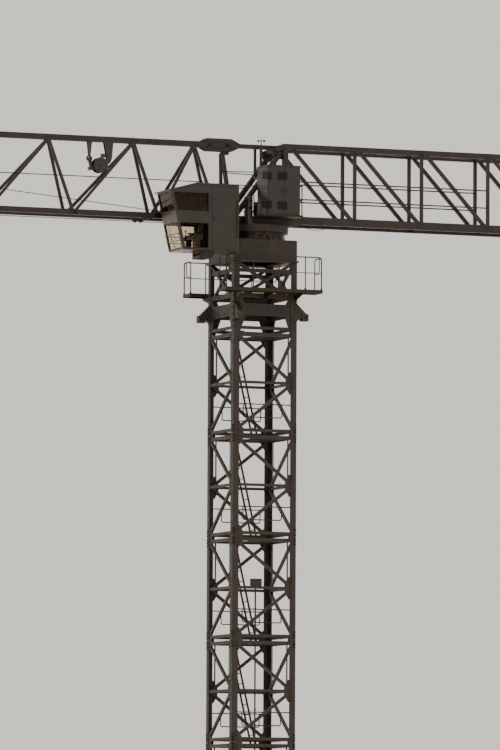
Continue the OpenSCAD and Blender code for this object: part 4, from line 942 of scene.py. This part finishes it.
def block_details():
    """Axle nuts and plate bolts of the hook block, rope sockets under the trolley, wheel caps, the hook's nut
    and its spring latch."""
    shape = Shape()
    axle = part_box("trolley")[0].z - 1.3
    for side in (-1, 1):
        outward = Y_AXIS * side
        nut_seat = side * 0.07
        for x in (TROLLEY_X - 0.26, TROLLEY_X + 0.26):
            shape.rod((x, nut_seat, axle), outward, 0.045, 0.03, 24, tip=0.04)
            shape.bolt((x, side * 0.1, axle), outward, 36 * MM, washer=False)
        for x, z in ((-0.34, 0.08), (0.0, 0.08), (0.34, 0.08), (0.0, -0.12), (-0.14, -0.24), (0.14, -0.24)):
            shape.bolt((TROLLEY_X + x, nut_seat, axle + z), outward, 24 * MM)
        out = side * (JIB_SIDE + CHORD_HALF + 0.028)
        for x in (TROLLEY_X - 0.51, TROLLEY_X + 0.51):
            shape.rod((x, out, LOW_LINE + 0.165), outward, 0.04, 0.022, 20, tip=0.036)
        for x in (-0.3, -0.1, 0.1, 0.3):
            shape.bolt((TROLLEY_X + x, out, LOW_LINE - 0.16), outward, 24 * MM)
        socket = [(0, 0), (0.018, 0), (0.028, 0.05), (0.028, 0.1), (0, 0.1)]
        for x in (-0.38, -0.14, 0.14, 0.38):
            shape.turned(socket, (TROLLEY_X + x, 0, axle + 1.2), Z_AXIS, 14)
    nut = axle - 0.33
    shape.rod((TROLLEY_X, 0, nut - 0.05), Z_AXIS, 0.06, 0.05, 6)
    shape.box((TROLLEY_X - 0.012, -0.016, nut - 0.28), (TROLLEY_X + 0.012, 0.016, nut - 0.13))
    shape.made("block_details", UPPER, "machinery_paint")


def wind_cups():
    """The three cups and the cap of the wind gauge."""
    shape = Shape()
    centre = Vector((0.25, 0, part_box("wind_gauge")[0].z + 0.13))
    outside = [(0.036 * math.sin(a), 0.036 * math.cos(a)) for a in (0.5, 1.0, 1.57)]
    inside = [(0.033 * math.sin(a), 0.033 * math.cos(a)) for a in (1.5, 1.0, 0.5)]
    cup = [(0, 0.034)] + outside + inside + [(0, 0.031)]
    for i in range(3):
        angle = 2 * math.pi * i / 3
        arm = Vector((math.cos(angle), math.sin(angle), 0))
        shape.turned(cup, centre + arm * 0.095, Vector((-arm.y, arm.x, 0)), 16)
    cap = [(0, 0), (0.02, 0), (0.02, 0.012), (0.008, 0.03), (0, 0.032)]
    shape.turned(cap, centre + Z_AXIS * 0.012, Z_AXIS, 16)
    shape.made("wind_cups", UPPER, "bare_steel", smooth=True)


# Cab

CAB_LOW, CAB_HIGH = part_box("cab_shell")
CAB_NEAR = CAB_LOW.y + 0.02
CAB_FAR = CAB_HIGH.y - 0.02
CAB_BACK = CAB_HIGH.x
CAB_BASE = CAB_LOW.z
CAB_ROOF = CAB_HIGH.z
WINDOW_BANDS = ((CAB_BASE + 0.06, CAB_BASE + 0.79), (CAB_BASE + 1.14, CAB_ROOF - 0.29))
SIDE_WINDOW_BACK = CAB_BACK - 0.95
BLIND_STEP = 21.84


def front_x(z):
    """Where the leaning front stands at a height."""
    return -2.96 - 0.39 * (z - CAB_BASE) / (CAB_ROOF - 0.21 - CAB_BASE)


def door_outline(inset_x=0.0, inset_z=0.0):
    """Corners of the door as (x, z), drawn in on each side."""
    x0, x1 = -2.08 + inset_x, -1.32 - inset_x
    z0, z1 = 20.55 + inset_z, 22.38 - inset_z
    return [(x0, z0), (x1, z0), (x1, z1), (x0, z1)]


def side_corners(y, band, inset=0.0):
    """Corners of a side window at y."""
    low, high = band[0] + inset, band[1] - inset
    front = 0.07 + inset
    back = SIDE_WINDOW_BACK - inset
    return [(front_x(low) + front, y, low), (back, y, low), (back, y, high), (front_x(high) + front, y, high)]


def front_corners(out, band, near=0.06, far=0.06):
    """Corners of a front window, some way out of the leaning front."""
    y0, y1 = CAB_NEAR + near, CAB_FAR - far
    corners = ((y0, band[0]), (y1, band[0]), (y1, band[1]), (y0, band[1]))
    return [(front_x(z) - out, y, z) for y, z in corners]


def cab_seals():
    """Rubber glazing seals, the door seal and the wiper."""
    shape = Shape()
    for band in WINDOW_BANDS:
        for corners in (side_corners(CAB_NEAR, band), side_corners(CAB_FAR, band), front_corners(0, band)):
            shape.bent(corners, 0.04, 0.012, closed=True)
    shape.bent([(x, CAB_NEAR, z) for x, z in door_outline()], 0.06, 0.009, closed=True)
    foot = Vector((front_x(20.62) - 0.01, -1.36, 20.62))
    tip = Vector((front_x(21.02) - 0.03, -1.2, 21.02))
    shape.rod(foot, -X_AXIS, 0.022, 0.03, 14, tip=0.018)
    shape.tube([foot - X_AXIS * 0.018, tip], 0.006, 6)
    shape.tube([(front_x(z) - 0.012, -1.2, z) for z in (tip.z - 0.2, tip.z + 0.2)], 0.008, 6)
    shape.made("cab_seals", UPPER, "cable_rubber")


def cab_metalwork():
    """Guard bars over the front and far windows, door with hinges and handle, grab rail and roof eyes."""
    shape = Shape()
    for z in (20.78, 20.97):
        x = front_x(z) - 0.035
        corners = ((SIDE_WINDOW_BACK + 0.06, CAB_FAR + 0.035), (x, CAB_FAR + 0.035), (x, CAB_NEAR + 0.03))
        shape.bent([(*corner, z) for corner in corners], 0.06, 0.011)
        for y in (CAB_NEAR + 0.05, -0.83):
            shape.box((x - 0.008, y - 0.015, z - 0.015), (front_x(z) + 0.01, y + 0.015, z + 0.015))
        for x in (SIDE_WINDOW_BACK + 0.04, -2.78):
            shape.box((x - 0.015, CAB_FAR - 0.002, z - 0.015), (x + 0.015, CAB_FAR + 0.04, z + 0.015))
    y = CAB_NEAR
    shape.side_plate(door_outline(0.025, 0.03), y, 6 * MM)
    for z in (20.8, 21.45, 22.1):
        shape.rod((-1.325, y - 0.012, z), Z_AXIS, 0.013, 0.09, 12)
        shape.box((-1.4, y - 0.01, z + 0.01), (-1.325, y - 0.004, z + 0.08))
    shape.box((-2.03, y - 0.012, 21.36), (-1.97, y - 0.005, 21.54))
    for x, low, high, foot, reach, bend, radius, sides in (
        (-2.0, 21.4, 21.5, -0.01, 0.05, 0.02, 0.008, 8),
        (-1.26, 20.9, 22.0, 0.002, 0.06, 0.04, 0.013, 10),
    ):
        grip = [(x, y + foot, low), (x, y - reach, low), (x, y - reach, high), (x, y + foot, high)]
        shape.bent(grip, bend, radius, sides)
    for x in (-2.3, -1.5):
        shape.box((x - 0.05, -1.405, CAB_ROOF - 0.002), (x + 0.05, -1.305, CAB_ROOF + 0.008))
        turns = [2 * math.pi * i / 20 for i in range(20)]
        eye = [(x + 0.035 * math.cos(a), -1.355, CAB_ROOF + 0.043 + 0.035 * math.sin(a)) for a in turns]
        shape.tube(eye, 0.009, 8, closed=True)
    # The roof falls away in front of its ridge
    for x in (-3.2, -2.9, -2.2, -1.9, -1.6, -1.3):
        fall = 0.269 * max(0.0, -2.57 - x)
        shape.bolt((x, y, CAB_ROOF - 0.08 - fall), -Y_AXIS, 14 * MM, washer=False)
    for z in lengths(20.6, 22.1, 0.25):
        for y in (CAB_NEAR + 0.05, CAB_FAR - 0.05):
            shape.bolt((CAB_BACK, y, z), X_AXIS, 14 * MM, washer=False)
    shape.made("cab_metalwork", UPPER, "cab_paint")


def cab_blinds():
    """Roller blinds drawn behind the upper windows; the front one stops short at the far side."""
    shape = Shape()
    low, high = WINDOW_BANDS[1]
    low, top = low - 0.01, high + 0.01
    for y in (CAB_NEAR + 0.06, CAB_FAR - 0.056):
        outline = [(x, z) for x, _, z in side_corners(y, (low, top), -0.01)]
        shape.side_plate(outline, y, 4 * MM)
    for band, far in (((BLIND_STEP, top), 0.06), ((low, BLIND_STEP), 0.42)):
        corners = front_corners(-0.07, band, 0.06, far)
        sides = [[0, 1, 5, 4], [1, 2, 6, 5], [2, 3, 7, 6], [3, 0, 4, 7]]
        shape.add(corners + [(x + 4 * MM, y, z) for x, y, z in corners], [[0, 3, 2, 1], [4, 5, 6, 7]] + sides)
    shape.rod((front_x(high) + 0.09, CAB_NEAR + 0.07, high + 0.03), Y_AXIS, 0.02, 0.98, 14)
    shape.made("cab_blinds", UPPER, "cable_rubber")


def cab_step():
    """The step frame hung under the cab's rear: two side plates, cross channels and a grated tread."""
    shape = Shape()
    x0, x1, y0, y1 = -2.4, -1.95, -1.84, -1.22
    low, high = CAB_BASE - 0.22, CAB_BASE
    cheek = [(x0, low), (x1 - 0.08, low), (x1, high - 0.09), (x1, high), (x0, high)]
    for y in (y0, y1 - 10 * MM):
        shape.side_plate(cheek, y, -10 * MM)
        for x in (x0 + 0.06, x1 - 0.06):
            shape.box((x - 0.04, y, high - 8 * MM), (x + 0.04, y + 0.06, high))
    for x, z in ((x0, low), (x0 + 0.2, low), (x1 - 0.14, low), (x0, high - 0.08)):
        shape.box((x, y0, z), (x + 8 * MM, y1, z + 0.08))
        shape.box((x, y0, z), (x + 0.045, y1, z + 6 * MM))
    grating(shape, ((x0 + 0.01, y0 + 0.01), (x1 - 0.14, y1 - 0.01)), [], low + 0.09, 0.025, 30 * MM, 90 * MM)
    for x in (x0 + 0.07, x1 - 0.12):
        for z in (high - 0.05, high - 0.12):
            shape.bolt((x, y0 - 10 * MM, z), -Y_AXIS, 19 * MM)
    shape.made("cab_step", UPPER, "upper_paint")


def cushion(shape, centre, half, lean=0.0):
    """A crowned pad with soft edges, leaned back by degrees round its middle."""
    rows, cols = 14, 32

    def swell(v):
        return math.copysign(abs(v) ** 0.4, v)

    points = [(0, 0, -half[2])]
    for i in range(1, rows):
        rise = -math.pi / 2 + math.pi * i / rows
        ring = swell(math.cos(rise))
        for turn in (2 * math.pi * k / cols for k in range(cols)):
            x, y = half[0] * ring * swell(math.cos(turn)), half[1] * ring * swell(math.sin(turn))
            points.append((x, y, half[2] * swell(math.sin(rise))))
    points.append((0, 0, half[2]))
    last = len(points) - 1
    faces = []
    for k in range(cols):
        j = (k + 1) % cols
        faces.append([0, 1 + j, 1 + k])
        faces.append([last, last - cols + k, last - cols + j])
        for i in range(rows - 2):
            a = 1 + i * cols
            faces.append([a + k, a + j, a + cols + j, a + cols + k])
    shape.place = Matrix.Translation(centre) @ Matrix.Rotation(math.radians(lean), 4, "Y")
    shape.add(points, faces)
    shape.place = Matrix.Identity(4)


def operator_seat():
    """The operator's seat: crowned vinyl pads on a pressed pan, arm consoles with joysticks, on a column."""
    low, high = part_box("cab_seat")
    middle = (low.y + high.y) / 2
    floor = low.z
    pads = Shape()
    cushion(pads, (-2.37, middle, 20.93), (0.22, 0.23, 0.065))
    cushion(pads, (-2.165, middle, 21.22), (0.05, 0.22, 0.26), 8)
    cushion(pads, (-2.125, middle, 21.555), (0.033, 0.13, 0.075), 8)
    for side in (-1, 1):
        cushion(pads, (-2.33, middle + side * 0.3, 21.06), (0.15, 0.04, 0.025))
    piece = pads.made("seat_pads", UPPER, "seat_plastic", smooth=True)
    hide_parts("cab_seat")

    shape = Shape()
    column = [(0, 0), (0.15, 0), (0.15, 0.012), (0.07, 0.03), (0.06, 0.06), (0.06, 0.3), (0, 0.3)]
    shape.turned(column, (-2.38, middle, floor), Z_AXIS, 32)
    shape.box((-2.56, middle - 0.2, floor + 0.3), (-2.18, middle + 0.2, floor + 0.325))
    shape.side_plate([(-2.2, 20.86), (-2.13, 20.86), (-2.092, 21.45), (-2.11, 21.45)], middle + 0.1, 0.2)
    console = [(-2.6, floor + 0.28), (-2.3, floor + 0.28), (-2.3, 20.985), (-2.52, 20.985), (-2.6, 20.94)]
    joystick = [(0, 0), (0.035, 0), (0.03, 0.012), (0.018, 0.035), (0.009, 0.05), (0.009, 0.12)]
    joystick += [(0.02, 0.13), (0.024, 0.15), (0.02, 0.185), (0, 0.19)]
    button = [(0, 0), (0.009, 0), (0.009, 0.006), (0, 0.008)]
    for side in (-1, 1):
        shape.rod((-2.125, middle + side * 0.05, 21.44), Z_AXIS, 0.008, 0.08, 10)
        inner, outer = sorted((middle + side * 0.27, middle + side * 0.4))
        shape.side_plate(console, outer, 0.13)
        shape.box((-2.52, inner + 0.03, floor), (-2.36, outer - 0.03, floor + 0.28))
        y = middle + side * 0.335
        shape.turned(joystick, (-2.53, y, 20.97), Z_AXIS, 20)
        for x in (-2.45, -2.405, -2.36):
            for dy in (-0.028, 0.028):
                shape.turned(button, (x, y + dy, 20.985), Z_AXIS, 12)
    shape.made("seat_console", UPPER, "machinery_paint")


def cabinet_fittings():
    """Doors, hinges, lever handles, louvres and the drip edge of the electrical cabinet."""
    shape = Shape()
    low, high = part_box("cabinet")
    middle, half_way = (low.x + high.x) / 2, (low.z + high.z) / 2
    for x0, x1, swing in ((low.x + 0.03, middle - 4 * MM, -1), (middle + 4 * MM, high.x - 0.03, 1)):
        z0, z1 = low.z + 0.05, high.z - 0.05
        shape.side_plate([(x0, z0), (x1, z0), (x1, z1), (x0, z1)], low.y, 12 * MM)
        for base in (low.z + 0.16, high.z - 0.42):
            for i in range(9):
                at = ((x0 + x1) / 2 - 0.15, low.y - 12 * MM, base + i * 0.028)
                shape.prism([(0, 0.02), (0.018, 0), (0, 0)], at, -Y_AXIS, Z_AXIS, 0.3)
        hinge_x = x0 - 0.008 if swing < 0 else x1 + 0.008
        for z in (low.z + 0.2, half_way, high.z - 0.25):
            shape.rod((hinge_x, low.y - 0.008, z), Z_AXIS, 0.01, 0.08, 12)
        lever = middle + swing * 0.06
        plate = [(lever + k * 0.016, low.y - 0.016 + k * 4 * MM, half_way + k * 0.09) for k in (-1, 1)]
        shape.box(*plate)
        handle = ((0.015, 0.06), (0.045, 0.06), (0.045, -0.07))
        shape.bent([(lever, low.y - out, half_way + rise) for out, rise in handle], 0.015, 0.008)
    edge = 0.018
    roof_low, roof_high = (low.x - edge, low.y - edge), (high.x + edge, high.y + edge)
    shape.box((*roof_low, high.z - 4 * MM), (*roof_high, high.z + 14 * MM))
    shape.border(roof_low, roof_high, 3 * MM, high.z - 0.03, high.z)
    for i in range(12):
        at = (high.x, -1.12, low.z + 0.9 + i * 0.03)
        shape.prism([(0, 0.022), (0.016, 0), (0, 0)], at, X_AXIS, Z_AXIS, -0.34)
    shape.made("cabinet_fittings", UPPER, "cabinet_paint")


# Studio

PHOTO_HEIGHT = 750
FOCAL_PX = 7200
CAMERA_DISTANCE = 210.73
CAMERA_HEIGHT = 0.68
CAMERA_AZIMUTH = -22.22
CAMERA_PITCH = 4.452
CAMERA_YAW = -0.017
CAMERA_ROLL = 0.282


def camera():
    """A long lens far off near the ground, looking up past the jib's side, as in the photograph."""
    azimuth = math.radians(CAMERA_AZIMUTH)
    place = Vector((math.sin(azimuth), -math.cos(azimuth), 0)) * CAMERA_DISTANCE
    place.z = CAMERA_HEIGHT
    forward = Vector((-math.sin(azimuth), math.cos(azimuth), 0))
    right = Vector((math.cos(azimuth), math.sin(azimuth), 0))
    yaw, pitch, roll = (math.radians(v) for v in (CAMERA_YAW, CAMERA_PITCH, CAMERA_ROLL))
    ahead = forward * math.cos(yaw) + right * math.sin(yaw)
    right = right * math.cos(yaw) - forward * math.sin(yaw)
    look = ahead * math.cos(pitch) + Z_AXIS * math.sin(pitch)
    up = Z_AXIS * math.cos(pitch) - ahead * math.sin(pitch)
    right, up = right * math.cos(roll) + up * math.sin(roll), up * math.cos(roll) - right * math.sin(roll)
    data = bpy.data.cameras.new("camera")
    data.sensor_fit = "VERTICAL"
    data.sensor_height = 36.0
    data.lens = FOCAL_PX / PHOTO_HEIGHT * data.sensor_height
    data.clip_start = 1.0
    data.clip_end = 2000.0
    eye = bpy.data.objects.new("camera", data)
    eye.matrix_world = Matrix.Translation(place) @ Matrix((right, up, -look)).transposed().to_4x4()
    bpy.context.scene.collection.objects.link(eye)
    bpy.context.scene.camera = eye


def studio():
    """A pale paper floor, a pale warm surround and one broad soft key light with a weak fill."""
    side = 400.0
    mesh = bpy.data.meshes.new("studio_floor")
    corners = [(-side, -side, 0), (side, -side, 0), (side, side, 0), (-side, side, 0)]
    mesh.from_pydata(corners, [], [[0, 1, 2, 3]])
    mesh.materials.append(studio_paper("studio_paper", "#efe9e0"))
    piece = bpy.data.objects.new("studio_floor", mesh)
    bpy.context.scene.collection.objects.link(piece)
    for name, turn, strength, spread in (("key", (48, 0, -58), 2.2, 12), ("fill", (62, 0, 120), 0.7, 40)):
        lamp = bpy.data.lights.new(name, "SUN")
        lamp.energy = strength
        lamp.angle = math.radians(spread)
        lamp.color = linear("#fff4e6")[:3]
        holder = bpy.data.objects.new(name, lamp)
        holder.rotation_euler = [math.radians(v) for v in turn]
        bpy.context.scene.collection.objects.link(holder)
    world = bpy.data.worlds.new("studio")
    bpy.context.scene.world = world
    world.use_nodes = True
    world.node_tree.nodes["Background"].inputs["Color"].default_value = linear("#f1ece4")
    world.node_tree.nodes["Background"].inputs["Strength"].default_value = 1.1


camera()
studio()
dress_frame()
mast_bolts()
mast_flats()
weld_beads()
rest_gratings()
cable_fittings()
head_walkways()
head_rails()
head_bolts()
ring_bolts()
frame_bolts()
chord_joints()
counter_gratings()
slab_eyes()
laid_ropes()
machine_details()
jib_winch()
block_details()
wind_cups()
cab_seals()
cab_metalwork()
cab_blinds()
cab_step()
operator_seat()
cabinet_fittings()
